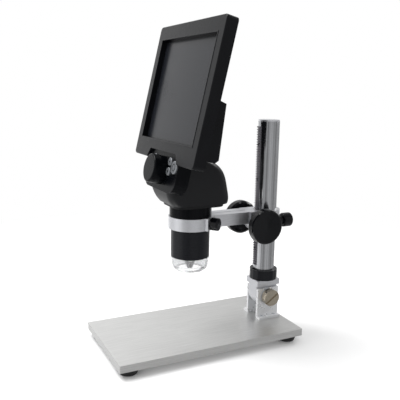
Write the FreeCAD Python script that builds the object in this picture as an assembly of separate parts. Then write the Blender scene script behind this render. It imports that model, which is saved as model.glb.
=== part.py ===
import FreeCAD, Part

import math
import os

from FreeCAD import Placement, Rotation, Vector

os.makedirs("parts", exist_ok=True)

# The part stands on its rubber feet. +Z is up, +Y runs from the user to the column, +X is to the
# user's right. The origin is at floor level under the middle of the whole outline.

# Base plate and feet
plate_width = 104.0
plate_length = 193.0
plate_thick = 7.0
plate_edge = 0.8
foot_height = 6.5
foot_radius = 10.5
foot_taper = 2.0
foot_inset = 11.5
foot_screw_r = 1.5
foot_screw_head_r = 3.2
foot_screw_head_h = 2.0
foot_screw_grip = 4.0
foot_screw_sunk = 1.0

# Tilting foot of the column
column_from_middle = 80.5
tongue_half = 7.7
tongue_depth = 25.0
cheek_gap = 0.3
cheek_thick = 3.0
cheek_height = 32.4
cheek_foot = 5.0
cheek_foot_thick = 2.6
cheek_screw_r = 1.25
cheek_screw_spread = 15.0
cheek_screw_sink = 1.6
cheek_screw_head_r = 2.4
head_thick = 6.0
head_depth = 27.0
tilt_clear = 2.6
pivot_height = 23.5
bolt_r = 4.0
bolt_head_r = 8.8
bolt_head_thick = 7.5
bolt_washer_r = 8.4
bolt_washer_thick = 0.9
bolt_nut_flats = 13.0
bolt_nut_thick = 5.5
bolt_tail = 1.0
bolt_edge = 0.6
bolt_slot_half = 0.9
bolt_slot_deep = 1.4
bolt_slot_angle = 35.0

# Column, collar and rack
column_r = 11.0
column_wall = 3.5
column_length = 165.0
collar_r = 14.2
collar_height = 10.5
collar_sides = 16
cap_flange = 1.6
cap_plug = 8.0
rack_width = 6.0
rack_seat = 2.0
rack_end_gap = 5.0
rack_slot_clear = 0.6
rack_screw_count = 4
rack_screw_r = 1.0
tooth_module = 0.8
pinion_teeth = 10
tooth_angle = 25.0
tooth_addendum = 0.56
tooth_dedendum = 0.80
tooth_backlash = 0.16
pinion_half = 2.5
rack_pitch_out = 0.7

# Sliding carriage, arm and ring
sleeve_r = 14.5
sleeve_height = 28.5
bush_thick = 0.9
bush_height = 9.0
arm_height = 12.0
arm_half = 10.0
arm_top = 116.0
arm_groove = 1.4
arm_groove_deep = 3.0
ring_wall = 2.4
gusset_run = 17.0
gearbox_half = 12.0
gearbox_front = 9.0
pinion_from_column = 15.7
pinion_drop = 12.6
shaft_r = 3.0
shaft_bush_thick = 2.0
shaft_bush_length = 4.0
knob_r = 17.5
knob_thick = 10.0
knob_outer = 29.5
knob_hub_r = 7.0
knob_hub_gap = 0.4
knob_round = 1.8
knob_dish = 1.0
knob_rim = 3.0
knob_back_dish = 1.0
knob_cover = 1.4
knob_grub_from_end = 2.4
grub_r = 1.5
grub_sunk = 0.6
lock_drop = 14.3
lock_r = 3.0
lock_knob_r = 7.4
lock_knob_thick = 10.5
lock_knob_gap = 6.0
lock_neck_r = 4.5
lock_knob_round = 1.6
lock_cover = 2.0
ring_screw_r = 2.0
ring_screw_angle = 38.0
ring_boss_half = 8.0
ring_boss_out = 1.2
ring_knob_r = 6.2
ring_knob_thick = 7.5
ring_knob_round = 0.9
ring_knob_cover = 1.5

# Optical barrel
barrel_from_middle = -6.2
barrel_r = 19.05
barrel_wall = 2.0
barrel_bottom = 75.5
shoulder_r = 20.5
hood_height = 13.5
hood_taper = 2.9
hood_wall = 1.4
hood_lip = 3.0
cone_r = 6.2
cone_tip_r = 2.2
cone_height = 10.0
cone_seat_r = 7.0
cone_wall = 1.2
lens_from_floor = 14.0
lens_top_drop = 12.0
lens_bottom_rise = 2.0
lens_front_thick = 3.0
lens_rear_thick = 4.0
lens_crown = 0.9
barrel_floor = 2.0
led_board_r = 14.0
led_board_thick = 1.6
led_count = 8
led_r = 1.5
led_height = 1.2
lens_tube_r = 8.0
lens_tube_wall = 1.6
lens_tube_length = 34.0
focus_travel = 4.0
guide_r = 1.2
guide_from_axis = 12.5
sensor_side = 19.0
sensor_thick = 1.6
sensor_chip = 9.0

# Neck
neck_wall = 2.2
neck_rim = 3.0
neck_rim_inset = 2.8
neck_corner = 11.0
neck_sections = (
    (129.5, 24.0, -32.0, 25.5),
    (139.0, 26.0, -38.0, 25.0),
    (152.0, 28.5, -40.0, 21.0),
    (164.0, 30.0, -38.0, 14.5),
    (171.0, 30.0, -34.0, 5.0),
    (176.0, 29.0, -30.0, -5.0),
)

# Screen housing, in its own upright frame: front face at Y 0, lower edge at Z 0
screen_lean = 13.2
screen_forward = -38.0
screen_up = 171.1
panel_width = 140.0
panel_height = 130.0
panel_thick = 11.3
panel_corner = 4.0
panel_edge = 1.0
panel_wall = 2.0
bezel_share = 9.0
window_side = 11.0
window_over = 14.3
window_up = 18.7
window_wall = 1.5
glass_recess = 5.0
glass_thick = 1.2
notch_height = 9.0
notch_half = 36.0
notch_slant = 6.0
back_inset = 18.0
back_low = 9.0
back_high = 64.5
back_depth_low = 32.0
back_depth_high = 27.0
back_chamfer = 3.0
board_thick = 1.6
battery_thick = 9.0
battery_inset = 18.0
battery_margin = 4.0
battery_corner = 3.0
board_margin_low = 3.0
board_margin_high = 4.0
board_margin_side = 4.0
board_stand = 2.0
board_post_inset = 3.5
board_post_r = 3.0
board_window_inset = 10.0
cover_screw_r = 1.3
cover_screw_head_r = 2.6
cover_screw_head_h = 1.2
board_screw_head_h = 1.4
screw_tip_gap = 1.0
port_depth = 7.0
port_shell = 0.7
port_back = 1.5
port_from_side = 0.4
usb_deep = 3.2
usb_tall = 8.0
usb_up = 12.0
card_deep = 2.4
card_tall = 12.0
card_up = 30.0

# Control pod with buttons and focus wheel
pod_low = -27.0
pod_setback = 3.0
pod_depth = 13.0
pod_corner = 12.0
pod_wall = 2.0
wheel_r = 13.5
wheel_up = -8.6
wheel_proud = 10.0
wheel_round = 1.6
wheel_gap = 0.5
wheel_shaft_r = 1.8
shaft_boss_r = 4.0
roller_r = 2.4
roller_length = 4.0
button_small_r = 3.7
button_small_high = 1.4
button_small_low = -7.7
button_large_r = 6.0
button_large_up = -2.8
button_proud = 1.4
button_stem = 1.0
button_travel = 0.8
button_flange = 0.8
button_clear = 0.3
button_wheel_gap = 0.4
button_gap = 1.2
button_round = 0.5
button_rim = 0.25
button_stem_r = 1.5
switch_board_drop = 3.0
switch_board_down = 4.5
switch_board_side = 1.0

# Fits
run_fit = 0.05
face_gap = 0.1
seat_fit = 0.02
loose_fit = 0.3

# Places that follow from the sizes above
lock_reach = sleeve_r + lock_knob_gap + lock_knob_thick
plate_y = (plate_length / 2 - column_from_middle - lock_reach) / 2
column_y = plate_y + column_from_middle
barrel_y = plate_y + barrel_from_middle
plate_top = foot_height + plate_thick
pivot_z = plate_top + pivot_height
cheek_top = plate_top + cheek_height
head_low = cheek_top + tilt_clear
head_top = head_low + head_thick
column_top = head_top + column_length
collar_top = head_top + collar_height
cheek_inner = tongue_half + cheek_gap
cheek_outer = cheek_inner + cheek_thick
tube_inner_r = column_r - column_wall
arm_high = plate_top + arm_top
arm_low = arm_high - arm_height
sleeve_low = arm_high - sleeve_height
pinion_y = column_y - pinion_from_column
pinion_z = arm_high - pinion_drop
pinion_pitch_r = tooth_module * pinion_teeth / 2
rack_pitch_r = pinion_from_column - pinion_pitch_r
tooth_pitch = math.pi * tooth_module
shaft_seat_r = shaft_r + shaft_bush_thick
rack_slot_half = rack_width / 2 + rack_slot_clear
ring_bore = barrel_r + 2 * run_fit
ring_r = ring_bore + ring_wall
ring_boss_r = ring_r + ring_boss_out
ring_screw_z = arm_high - arm_height / 2
lock_z = arm_high - lock_drop
barrel_low = plate_top + barrel_bottom
neck_low = plate_top + neck_sections[0][0]
barrel_bore = barrel_r - barrel_wall
window_width = panel_width - 2 * window_side
window_height = panel_height - window_up - window_over
back_half = panel_width / 2 - back_inset
screen_y = plate_y + screen_forward
screen_z = plate_top + screen_up
housing_place = Placement(Vector(0, screen_y, screen_z), Rotation(Vector(1, 0, 0), -screen_lean))
X_AXIS = Vector(1, 0, 0)
Y_AXIS = Vector(0, 1, 0)
Z_AXIS = Vector(0, 0, 1)


def box(x0, x1, y0, y1, z0, z1):
    return Part.makeBox(x1 - x0, y1 - y0, z1 - z0, Vector(x0, y0, z0))


def rod(radius, length, base, axis=Z_AXIS):
    return Part.makeCylinder(radius, length, Vector(*base), axis)


def tube(outer, inner, length, base, axis=Z_AXIS):
    return rod(outer, length, base, axis).cut(rod(inner, length, base, axis))


def cone(low_r, high_r, length, base, axis=Z_AXIS):
    return Part.makeCone(low_r, high_r, length, Vector(*base), axis)


def prism(points, direction):
    """A solid swept from a closed outline of points along a vector."""
    outline = Part.makePolygon([Vector(*p) for p in points + points[:1]])
    return Part.Face(outline).extrude(Vector(*direction))


def polygon_rod(flats, sides, length, base, axis=Z_AXIS):
    """A bar with a regular cross section, given across its flats."""
    corner = flats / 2 / math.cos(math.pi / sides)
    steps = [2 * math.pi * (i + 0.5) / sides for i in range(sides)]
    bar = prism([(corner * math.cos(a), corner * math.sin(a), 0) for a in steps], (0, 0, length))
    bar.Placement = Placement(Vector(*base), Rotation(Z_AXIS, axis))
    return bar


def fuse(shapes):
    joined = shapes[0].fuse(shapes[1:])
    return joined.removeSplitter()


def cut(shape, tools):
    return shape.cut(Part.makeCompound(tools))


def edges_along(shape, axis):
    """The straight edges that lie along one axis."""
    found = []
    for edge in shape.Edges:
        if len(edge.Vertexes) == 2 and isinstance(edge.Curve, Part.Line):
            if abs(abs(edge.tangentAt(edge.FirstParameter).dot(axis)) - 1) < 1e-6:
                found.append(edge)
    return found


def rounded_box(x0, x1, y0, y1, z0, z1, radius, axis):
    """A box with its four edges along one axis rounded."""
    block = box(x0, x1, y0, y1, z0, z1)
    return block.makeFillet(radius, edges_along(block, axis))


def turned(profile, base, axis):
    """A solid of revolution about Z from (radius, height) points, then laid along an axis."""
    ring = [Vector(r, 0, h) for r, h in profile]
    face = Part.Face(Part.makePolygon(ring + ring[:1]))
    solid = face.revolve(Vector(0, 0, 0), Z_AXIS, 360)
    solid.Placement = Placement(Vector(*base), Rotation(Z_AXIS, axis))
    return solid


def save(name, shape):
    solids = shape.Solids
    for solid in solids:
        if not solid.isValid():
            raise ValueError(name + " is not a valid solid")
    out = solids[0] if len(solids) == 1 else Part.makeCompound(solids)
    out.exportStep("parts/" + name + ".step")
    return out


def in_housing(shape):
    """Leans a piece modelled in the upright screen frame back to its real place."""
    placed = shape.copy()
    placed.Placement = housing_place.multiply(placed.Placement)
    return placed


# Base: plate, four feet and their screws
foot_spots = [
    (sx * (plate_width / 2 - foot_inset), plate_y + sy * (plate_length / 2 - foot_inset))
    for sx in (-1, 1)
    for sy in (-1, 1)
]
cheek_screw_spots = [
    (sx * (cheek_inner + (cheek_thick + cheek_foot) / 2), column_y + sy * cheek_screw_spread / 2)
    for sx in (-1, 1)
    for sy in (-1, 1)
]
foot_screw_tip = foot_height + foot_screw_grip


def base_plate():
    plate = rounded_box(
        -plate_width / 2, plate_width / 2, plate_y - plate_length / 2, plate_y + plate_length / 2,
        foot_height, plate_top, plate_edge, Z_AXIS,
    )
    holes = [rod(foot_screw_r, foot_screw_grip, (x, y, foot_height)) for x, y in foot_spots]
    for x, y in cheek_screw_spots:
        holes.append(rod(cheek_screw_r + seat_fit, plate_thick, (x, y, foot_height)))
        holes.append(rod(cheek_screw_head_r + seat_fit, cheek_screw_sink, (x, y, foot_height)))
    return cut(plate, holes)


def rubber_feet():
    feet = []
    recess = foot_screw_head_h + foot_screw_sunk
    for x, y in foot_spots:
        foot = cone(foot_radius - foot_taper, foot_radius, foot_height, (x, y, 0))
        well = rod(foot_screw_head_r + loose_fit, recess, (x, y, 0))
        feet.append(cut(foot, [well, rod(foot_screw_r + seat_fit, foot_height, (x, y, 0))]))
    return Part.makeCompound(feet)


def foot_screws():
    screws = []
    seat = foot_screw_head_h + foot_screw_sunk
    for x, y in foot_spots:
        head = rod(foot_screw_head_r, foot_screw_head_h, (x, y, seat - foot_screw_head_h))
        shank = rod(foot_screw_r - seat_fit, foot_screw_tip - seat - seat_fit, (x, y, seat))
        screws.append(fuse([head, shank]))
    return Part.makeCompound(screws)


def hinge_cheek(side):
    """One angle bracket of the tilting foot; side is -1 on the left and 1 on the right."""
    half = tongue_depth / 2
    inner = cheek_inner
    outer = cheek_outer
    foot_end = outer + cheek_foot
    outline = [
        (side * inner, column_y - half, plate_top),
        (side * foot_end, column_y - half, plate_top),
        (side * foot_end, column_y - half, plate_top + cheek_foot_thick),
        (side * outer, column_y - half, plate_top + cheek_foot_thick),
        (side * outer, column_y - half, cheek_top),
        (side * inner, column_y - half, cheek_top),
    ]
    bracket = prism(outline, (0, tongue_depth, 0))
    holes = [rod(bolt_r + run_fit, cheek_thick, (min(side * inner, side * outer), column_y, pivot_z), X_AXIS)]
    for x, y in cheek_screw_spots:
        if x * side > 0:
            holes.append(rod(cheek_screw_r, cheek_foot_thick, (x, y, plate_top)))
    return cut(bracket, holes)


def cheek_screws():
    screws = []
    for x, y in cheek_screw_spots:
        head = rod(cheek_screw_head_r, cheek_screw_sink - seat_fit, (x, y, foot_height))
        length = plate_thick + cheek_foot_thick - seat_fit
        screws.append(fuse([head, rod(cheek_screw_r - seat_fit, length, (x, y, foot_height))]))
    return Part.makeCompound(screws)


# Column: tilting block, collar, tube, rack and cap
def hinge_block():
    half = tongue_depth / 2
    tongue = box(-tongue_half, tongue_half, column_y - half, column_y + half, pivot_z, head_low)
    toe = rod(half, 2 * tongue_half, (-tongue_half, column_y, pivot_z), X_AXIS)
    head = box(
        -cheek_outer, cheek_outer, column_y - head_depth / 2, column_y + head_depth / 2,
        head_low, head_top,
    )
    spigot = rod(tube_inner_r - seat_fit, 2 * collar_height, (0, column_y, head_top))
    block = fuse([tongue, toe, head, spigot])
    return block.cut(rod(bolt_r + run_fit, 2 * tongue_half, (-tongue_half, column_y, pivot_z), X_AXIS))


def column_collar():
    body = polygon_rod(2 * collar_r, collar_sides, collar_height, (0, column_y, head_top))
    keyway = box(
        -rack_width / 2 - loose_fit, rack_width / 2 + loose_fit,
        column_y - column_r - 2 * tooth_module - loose_fit, column_y, head_top, collar_top,
    )
    grub = rod(grub_r, collar_r, (0, column_y, head_top + collar_height / 2), Y_AXIS)
    bore = rod(column_r + seat_fit, collar_height, (0, column_y, head_top))
    return cut(body, [bore, keyway, grub])


def collar_grub():
    start = column_y + column_r + 2 * seat_fit
    length = collar_r - column_r - grub_sunk
    return rod(grub_r - seat_fit, length, (0, start, head_top + collar_height / 2), Y_AXIS)


rack_floor_r = column_r - rack_seat
rack_low = collar_top + rack_end_gap
rack_high = column_top - rack_end_gap
rack_screw_zs = [
    rack_low + (rack_high - rack_low) * (i + 0.5) / rack_screw_count for i in range(rack_screw_count)
]


def column_tube():
    pipe = tube(column_r, tube_inner_r, column_length, (0, column_y, head_top))
    groove = box(
        -rack_width / 2, rack_width / 2, column_y - 2 * column_r, column_y - rack_floor_r,
        rack_low, rack_high,
    )
    pipe = pipe.cut(groove)
    holes = [rod(rack_screw_r, rack_floor_r, (0, column_y - rack_floor_r, z), Y_AXIS) for z in rack_screw_zs]
    front_wall = [hole.common(rod(column_r, column_length, (0, column_y, head_top))) for hole in holes]
    keep_back = box(-column_r, column_r, column_y, column_y + column_r, head_top, column_top)
    return cut(pipe, [hole.cut(keep_back) for hole in front_wall])


def tooth_gap_profile(height, z_mid):
    """The space between two rack teeth, as (distance out, z) points about its middle."""
    tan = math.tan(math.radians(tooth_angle))
    half = tooth_pitch / 4 + tooth_backlash / 4
    deep = half - tooth_dedendum * tan
    wide = half + height * tan
    return [(-tooth_dedendum, z_mid - deep), (height, z_mid - wide), (height, z_mid + wide),
            (-tooth_dedendum, z_mid + deep)]


def rack_strip():
    out = rack_pitch_r + tooth_addendum
    half = rack_width / 2 - seat_fit
    bar = box(-half, half, column_y - out, column_y - rack_floor_r - seat_fit,
              rack_low + seat_fit, rack_high - seat_fit)
    gaps = []
    first = math.ceil((rack_low - pinion_z) / tooth_pitch)
    last = math.floor((rack_high - pinion_z) / tooth_pitch)
    for i in range(first, last + 1):
        shape = tooth_gap_profile(2 * tooth_addendum, pinion_z + i * tooth_pitch)
        gaps.append(prism([(-rack_width, column_y - rack_pitch_r - d, z) for d, z in shape],
                          (2 * rack_width, 0, 0)))
    for z in rack_screw_zs:
        gaps.append(rod(rack_screw_r + seat_fit, out, (0, column_y - out, z), Y_AXIS))
        gaps.append(rod(1.6 * rack_screw_r, out - rack_pitch_r + 2 * tooth_module,
                        (0, column_y - out, z), Y_AXIS))
    return cut(bar, gaps)


def rack_screws():
    screws = []
    head_out = rack_pitch_r - 2 * tooth_module
    for z in rack_screw_zs:
        screws.append(rod(rack_screw_r - seat_fit, head_out - tube_inner_r - 0.4,
                          (0, column_y - head_out, z), Y_AXIS))
    return Part.makeCompound(screws)


def column_cap():
    plug = rod(tube_inner_r - seat_fit, cap_plug, (0, column_y, column_top - cap_plug))
    top = rod(column_r - 0.3, cap_flange, (0, column_y, column_top))
    return fuse([plug, top])


# Tilt clamp bolt
def tilt_bolt():
    start = -cheek_outer - bolt_nut_thick - bolt_tail
    seat = cheek_outer + bolt_washer_thick + run_fit
    shank = rod(bolt_r, seat - start, (start, column_y, pivot_z), X_AXIS)
    head = rod(bolt_head_r, bolt_head_thick, (seat, column_y, pivot_z), X_AXIS)
    head = head.makeChamfer(bolt_edge, [e for e in head.Edges if e.Curve.TypeId == "Part::GeomCircle"])
    slot = box(seat + bolt_head_thick - bolt_slot_deep, seat + bolt_head_thick, column_y - bolt_head_r,
               column_y + bolt_head_r, pivot_z - bolt_slot_half, pivot_z + bolt_slot_half)
    slot.rotate(Vector(seat, column_y, pivot_z), X_AXIS, bolt_slot_angle)
    return fuse([shank, head]).cut(slot)


def tilt_washer():
    return tube(bolt_washer_r, bolt_r + run_fit, bolt_washer_thick, (cheek_outer, column_y, pivot_z), X_AXIS)


def tilt_nut():
    start = -cheek_outer - bolt_nut_thick
    nut = polygon_rod(bolt_nut_flats, 6, bolt_nut_thick, (start, column_y, pivot_z), X_AXIS)
    return nut.cut(rod(bolt_r + run_fit, bolt_nut_thick, (start, column_y, pivot_z), X_AXIS))


# Carriage: sleeve with arm and ring, bushes, pinion, knobs and locks
def about_barrel(shape):
    """Turns a piece modelled on the +X side of the ring to the clamp screw's place."""
    turned_shape = shape.copy()
    turned_shape.rotate(Vector(0, barrel_y, 0), Z_AXIS, ring_screw_angle)
    return turned_shape


def support_arm():
    sleeve = rod(sleeve_r, sleeve_height, (0, column_y, sleeve_low))
    face = pinion_y - gearbox_front
    gearbox = prism([
        (-gearbox_half, face, arm_high), (-gearbox_half, face, arm_low),
        (-gearbox_half, face + gusset_run, sleeve_low), (-gearbox_half, column_y, sleeve_low),
        (-gearbox_half, column_y, arm_high),
    ], (2 * gearbox_half, 0, 0))
    bar = box(-arm_half, arm_half, barrel_y, column_y, arm_low, arm_high)
    ring = rod(ring_r, arm_height, (0, barrel_y, arm_low))
    boss = about_barrel(box(0, ring_boss_r, barrel_y - ring_boss_half, barrel_y + ring_boss_half,
                            arm_low, arm_high))
    body = fuse([sleeve, gearbox, bar, ring, boss])
    holes = [
        rod(ring_bore, arm_height, (0, barrel_y, arm_low)),
        rod(column_r + bush_thick, bush_height, (0, column_y, sleeve_low)),
        rod(column_r + bush_thick, bush_height, (0, column_y, arm_high - bush_height)),
        rod(column_r + loose_fit, sleeve_height, (0, column_y, sleeve_low)),
        box(-rack_slot_half, rack_slot_half, column_y - rack_pitch_r - 2 * tooth_module, column_y,
            sleeve_low, arm_high),
        rod(shaft_seat_r, 2 * gearbox_half, (-gearbox_half, pinion_y, pinion_z), X_AXIS),
        box(-arm_groove / 2, arm_groove / 2, barrel_y + ring_r, face, arm_high - arm_groove_deep, arm_high),
        about_barrel(rod(ring_screw_r + run_fit, ring_boss_r, (0, barrel_y, ring_screw_z), X_AXIS)),
        rod(lock_r + run_fit, sleeve_r, (0, column_y + column_r / 2, lock_z), Y_AXIS),
    ]
    return cut(body, holes)


def slide_bushes():
    rings = []
    for low in (sleeve_low, arm_high - bush_height):
        ring = tube(column_r + bush_thick - seat_fit, column_r + run_fit, bush_height, (0, column_y, low))
        slot = box(-rack_slot_half, rack_slot_half, column_y - 2 * column_r, column_y,
                   low, low + bush_height)
        lock_hole = rod(lock_r + run_fit, sleeve_r, (0, column_y + column_r / 2, lock_z), Y_AXIS)
        rings.append(cut(ring, [slot, lock_hole]))
    return Part.makeCompound(rings)


def shaft_bushes():
    bushes = []
    for start in (-gearbox_half, gearbox_half - shaft_bush_length):
        bushes.append(tube(shaft_seat_r - seat_fit, shaft_r + run_fit, shaft_bush_length,
                           (start, pinion_y, pinion_z), X_AXIS))
    return Part.makeCompound(bushes)


def involute_gap():
    """One space between two pinion teeth, as an outline in the (y, z) plane about its middle."""
    base_r = pinion_pitch_r * math.cos(math.radians(tooth_angle))
    tip_r = pinion_pitch_r + tooth_addendum + 0.3
    inv = math.tan(math.radians(tooth_angle)) - math.radians(tooth_angle)
    half_gap = math.pi / (2 * pinion_teeth) + tooth_backlash / 4 / pinion_pitch_r
    start_r = max(base_r, pinion_pitch_r - tooth_dedendum)
    flank = []
    steps = 5
    for i in range(steps + 1):
        r = start_r + (tip_r - start_r) * i / steps
        roll = math.acos(min(1.0, base_r / r))
        flank.append((r, half_gap + math.tan(roll) - roll - inv))
    root_r = pinion_pitch_r - tooth_dedendum
    ends = [(root_r, flank[0][1] * 0.9)] + flank
    side = [(r * math.cos(a), r * math.sin(a)) for r, a in ends]
    return side, [(y, -z) for y, z in reversed(side)]


def pinion_shaft():
    gear = rod(pinion_pitch_r + tooth_addendum, 2 * pinion_half, (-pinion_half, pinion_y, pinion_z), X_AXIS)
    upper, lower = involute_gap()
    points = [(-2 * pinion_half, y, z) for y, z in upper + lower]
    gap = prism(points, (4 * pinion_half, 0, 0))
    gaps = []
    for i in range(pinion_teeth):
        space = gap.copy()
        space.rotate(Vector(0, 0, 0), X_AXIS, 360 * (i + 0.5) / pinion_teeth)
        space.translate(Vector(0, pinion_y, pinion_z))
        gaps.append(space)
    gear = cut(gear, gaps)
    half = knob_outer - knob_dish - knob_cover - face_gap
    shaft = rod(shaft_r, 2 * half, (-half, pinion_y, pinion_z), X_AXIS)
    return fuse([gear, shaft])


def coarse_knob(side):
    """A turned knob with its hub towards the arm; side is -1 on the left and 1 on the right."""
    hub_start = gearbox_half + knob_hub_gap
    inner = knob_outer - knob_thick
    middle = knob_outer - knob_dish
    bore = shaft_r + seat_fit
    r = knob_round
    profile = [
        (bore, hub_start), (knob_hub_r, hub_start), (knob_hub_r, inner + knob_back_dish),
        (knob_r - knob_rim, inner + knob_back_dish), (knob_r - knob_rim, inner), (knob_r - r, inner),
        (knob_r, inner + r), (knob_r, knob_outer - r), (knob_r - 0.3 * r, knob_outer - 0.3 * r),
        (knob_r - r, knob_outer), (0, middle), (0, middle - knob_cover), (bore, middle - knob_cover),
    ]
    knob = turned(profile, (0, pinion_y, pinion_z), X_AXIS * side)
    grub_x = side * (hub_start + knob_grub_from_end)
    return knob.cut(rod(grub_r, knob_hub_r, (grub_x, pinion_y, pinion_z), Z_AXIS))


def knob_grubs():
    screws = []
    for side in (-1, 1):
        x = side * (gearbox_half + knob_hub_gap + knob_grub_from_end)
        screws.append(rod(grub_r - seat_fit, knob_hub_r - shaft_r - grub_sunk,
                          (x, pinion_y, pinion_z + shaft_r + seat_fit), Z_AXIS))
    return Part.makeCompound(screws)


def lock_screw():
    start = column_y + column_r + loose_fit
    end = column_y + lock_reach - lock_cover
    return rod(lock_r, end - start, (0, start, lock_z), Y_AXIS)


def lock_knob():
    start = column_y + sleeve_r + loose_fit
    flange = column_y + sleeve_r + lock_knob_gap
    body = rod(lock_knob_r, lock_knob_thick, (0, flange, lock_z), Y_AXIS)
    rims = [e for e in body.Edges if e.Curve.TypeId == "Part::GeomCircle"]
    body = body.makeFillet(lock_knob_round, rims)
    neck = rod(lock_neck_r, flange - start + 1, (0, start, lock_z), Y_AXIS)
    bore = rod(lock_r + seat_fit, lock_reach - lock_cover - sleeve_r, (0, column_y + sleeve_r, lock_z),
               Y_AXIS)
    return fuse([body, neck]).cut(bore)


ring_knob_start = ring_boss_r + loose_fit
ring_knob_end = ring_knob_start + ring_knob_thick


def ring_screw():
    start = barrel_r + loose_fit
    end = ring_knob_end - ring_knob_cover
    return about_barrel(rod(ring_screw_r, end - start, (start, barrel_y, ring_screw_z), X_AXIS))


def ring_screw_knob():
    body = rod(ring_knob_r, ring_knob_thick, (ring_knob_start, barrel_y, ring_screw_z), X_AXIS)
    rims = [e for e in body.Edges if e.Curve.TypeId == "Part::GeomCircle"]
    body = body.makeFillet(ring_knob_round, rims)
    bore = rod(ring_screw_r + seat_fit, ring_knob_thick - ring_knob_cover,
               (ring_knob_start, barrel_y, ring_screw_z), X_AXIS)
    return about_barrel(body.cut(bore))


# Screen housing, in its upright frame
lcd_thick = bezel_share - glass_recess - glass_thick - face_gap
post_x = (window_width / 2 + window_wall + panel_width / 2 - panel_wall) / 2
post_r = (panel_width / 2 - panel_wall - window_width / 2 - window_wall) / 2 - 0.6
post_spots = [
    (sx * post_x, z) for sx in (-1, 1)
    for z in (panel_height * 0.10, panel_height * 0.5, panel_height * 0.92)
]
cover_screw_seat = panel_thick - cover_screw_head_h - face_gap
board_low = back_low + panel_wall + board_margin_low
board_high = back_high - panel_wall - board_margin_high
board_half = back_half - panel_wall - board_margin_side
board_front = panel_thick + board_stand
board_back = board_front + board_thick
board_posts = [
    (sx * (board_half - board_post_inset), z) for sx in (-1, 1)
    for z in (board_low + board_post_inset, board_high - board_post_inset)
]
port_sizes = {"usb_socket": (usb_deep, usb_tall), "card_slot": (card_deep, card_tall)}
port_places = {"usb_socket": board_low + usb_up, "card_slot": board_low + card_up}


def notch(grow):
    """The slanted recess in the chin of the screen, grown all round by a wall."""
    low = notch_half + grow
    high = notch_half - notch_slant + grow
    top = notch_height + grow
    outline = [(-low, -1, -1), (-low, -1, 0), (-high, -1, top), (high, -1, top), (low, -1, 0), (low, -1, -1)]
    return prism(outline, (0, panel_thick + 2, 0))


def window_block(grow, y0, y1):
    half = window_width / 2 + grow
    return box(-half, half, y0, y1, window_up - grow, window_up + window_height + grow)


def front_bezel():
    outer = rounded_box(-panel_width / 2, panel_width / 2, 0, bezel_share, 0, panel_height,
                        panel_corner, Y_AXIS)
    rim = [e for e in outer.Edges if e.BoundBox.YMax < 1e-6]
    outer = outer.makeFillet(panel_edge, rim)
    side = panel_width / 2 - panel_wall
    pocket = box(-side, side, panel_wall, bezel_share, panel_wall, panel_height - panel_wall)
    pocket = pocket.cut(window_block(window_wall, 0, glass_recess))
    pocket = pocket.cut(notch(panel_wall))
    holes = []
    for x, z in post_spots:
        pocket = pocket.cut(rod(post_r, bezel_share, (x, 0, z), Y_AXIS))
        holes.append(rod(cover_screw_r, bezel_share - panel_wall, (x, panel_wall, z), Y_AXIS))
    return cut(outer, [pocket, window_block(0, -1, glass_recess), notch(0)] + holes)


def screen_glass():
    return window_block(window_wall, glass_recess, glass_recess + glass_thick)


def lcd_module():
    start = glass_recess + glass_thick
    return window_block(window_wall - seat_fit, start, start + lcd_thick)


def back_outline(inset, start):
    """The side outline of the box behind the screen, as (x, y, z) points at one X."""
    high_y = back_depth_high - inset
    low_y = back_depth_low - inset
    low = back_low + inset
    high = back_high - inset
    drop = back_chamfer
    if inset:
        drop = back_chamfer * 0.8
    return [(0, start, low), (0, low_y - drop, low), (0, low_y, low + drop),
            (0, high_y, high - drop), (0, start, high)]


def back_box(inset, start):
    half = back_half - inset
    points = [(-half, y, z) for _, y, z in back_outline(inset, start)]
    return prism(points, (2 * half, 0, 0))


def rear_cover():
    plate = rounded_box(-panel_width / 2, panel_width / 2, bezel_share, panel_thick, 0, panel_height,
                        panel_corner, Y_AXIS)
    shell = fuse([plate, back_box(0, (bezel_share + panel_thick) / 2)])
    hollow = back_box(panel_wall, panel_thick)
    opening = box(-board_half + board_window_inset, board_half - board_window_inset, bezel_share,
                  panel_thick + panel_wall, board_low + panel_wall, board_high - panel_wall)
    tools = [hollow, opening, notch(0)]
    for x, z in post_spots:
        tools.append(rod(cover_screw_r + seat_fit, panel_thick, (x, bezel_share, z), Y_AXIS))
        tools.append(rod(cover_screw_head_r + seat_fit, panel_wall, (x, cover_screw_seat, z), Y_AXIS))
    for name, (deep, tall) in port_sizes.items():
        z = port_places[name]
        tools.append(box(-back_half - panel_wall, -back_half + 1.5 * panel_wall, board_back,
                         board_back + deep + 2 * face_gap, z - tall / 2 - face_gap, z + tall / 2 + face_gap))
    shell = cut(shell, tools)
    posts = []
    holes = []
    for x, z in board_posts:
        posts.append(rod(board_post_r, board_front - panel_thick, (x, panel_thick, z), Y_AXIS))
        holes.append(rod(cover_screw_r, board_front - bezel_share - 0.6, (x, bezel_share + 0.6, z), Y_AXIS))
    return cut(fuse([shell] + posts), holes)


def main_board():
    board = box(-board_half, board_half, board_front, board_back, board_low, board_high)
    return cut(board, [rod(cover_screw_r + seat_fit, board_thick, (x, board_front, z), Y_AXIS)
                       for x, z in board_posts])


def board_screws():
    screws = []
    for x, z in board_posts:
        start = bezel_share + screw_tip_gap
        shank = rod(cover_screw_r - seat_fit, board_back - start, (x, start, z), Y_AXIS)
        screws.append(fuse([shank, rod(cover_screw_head_r, board_screw_head_h, (x, board_back, z), Y_AXIS)]))
    return Part.makeCompound(screws)


def cover_screws():
    screws = []
    for x, z in post_spots:
        start = panel_wall + screw_tip_gap
        shank = rod(cover_screw_r - seat_fit, cover_screw_seat - start, (x, start, z), Y_AXIS)
        head = rod(cover_screw_head_r, cover_screw_head_h, (x, cover_screw_seat, z), Y_AXIS)
        screws.append(fuse([shank, head]))
    return Part.makeCompound(screws)


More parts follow.
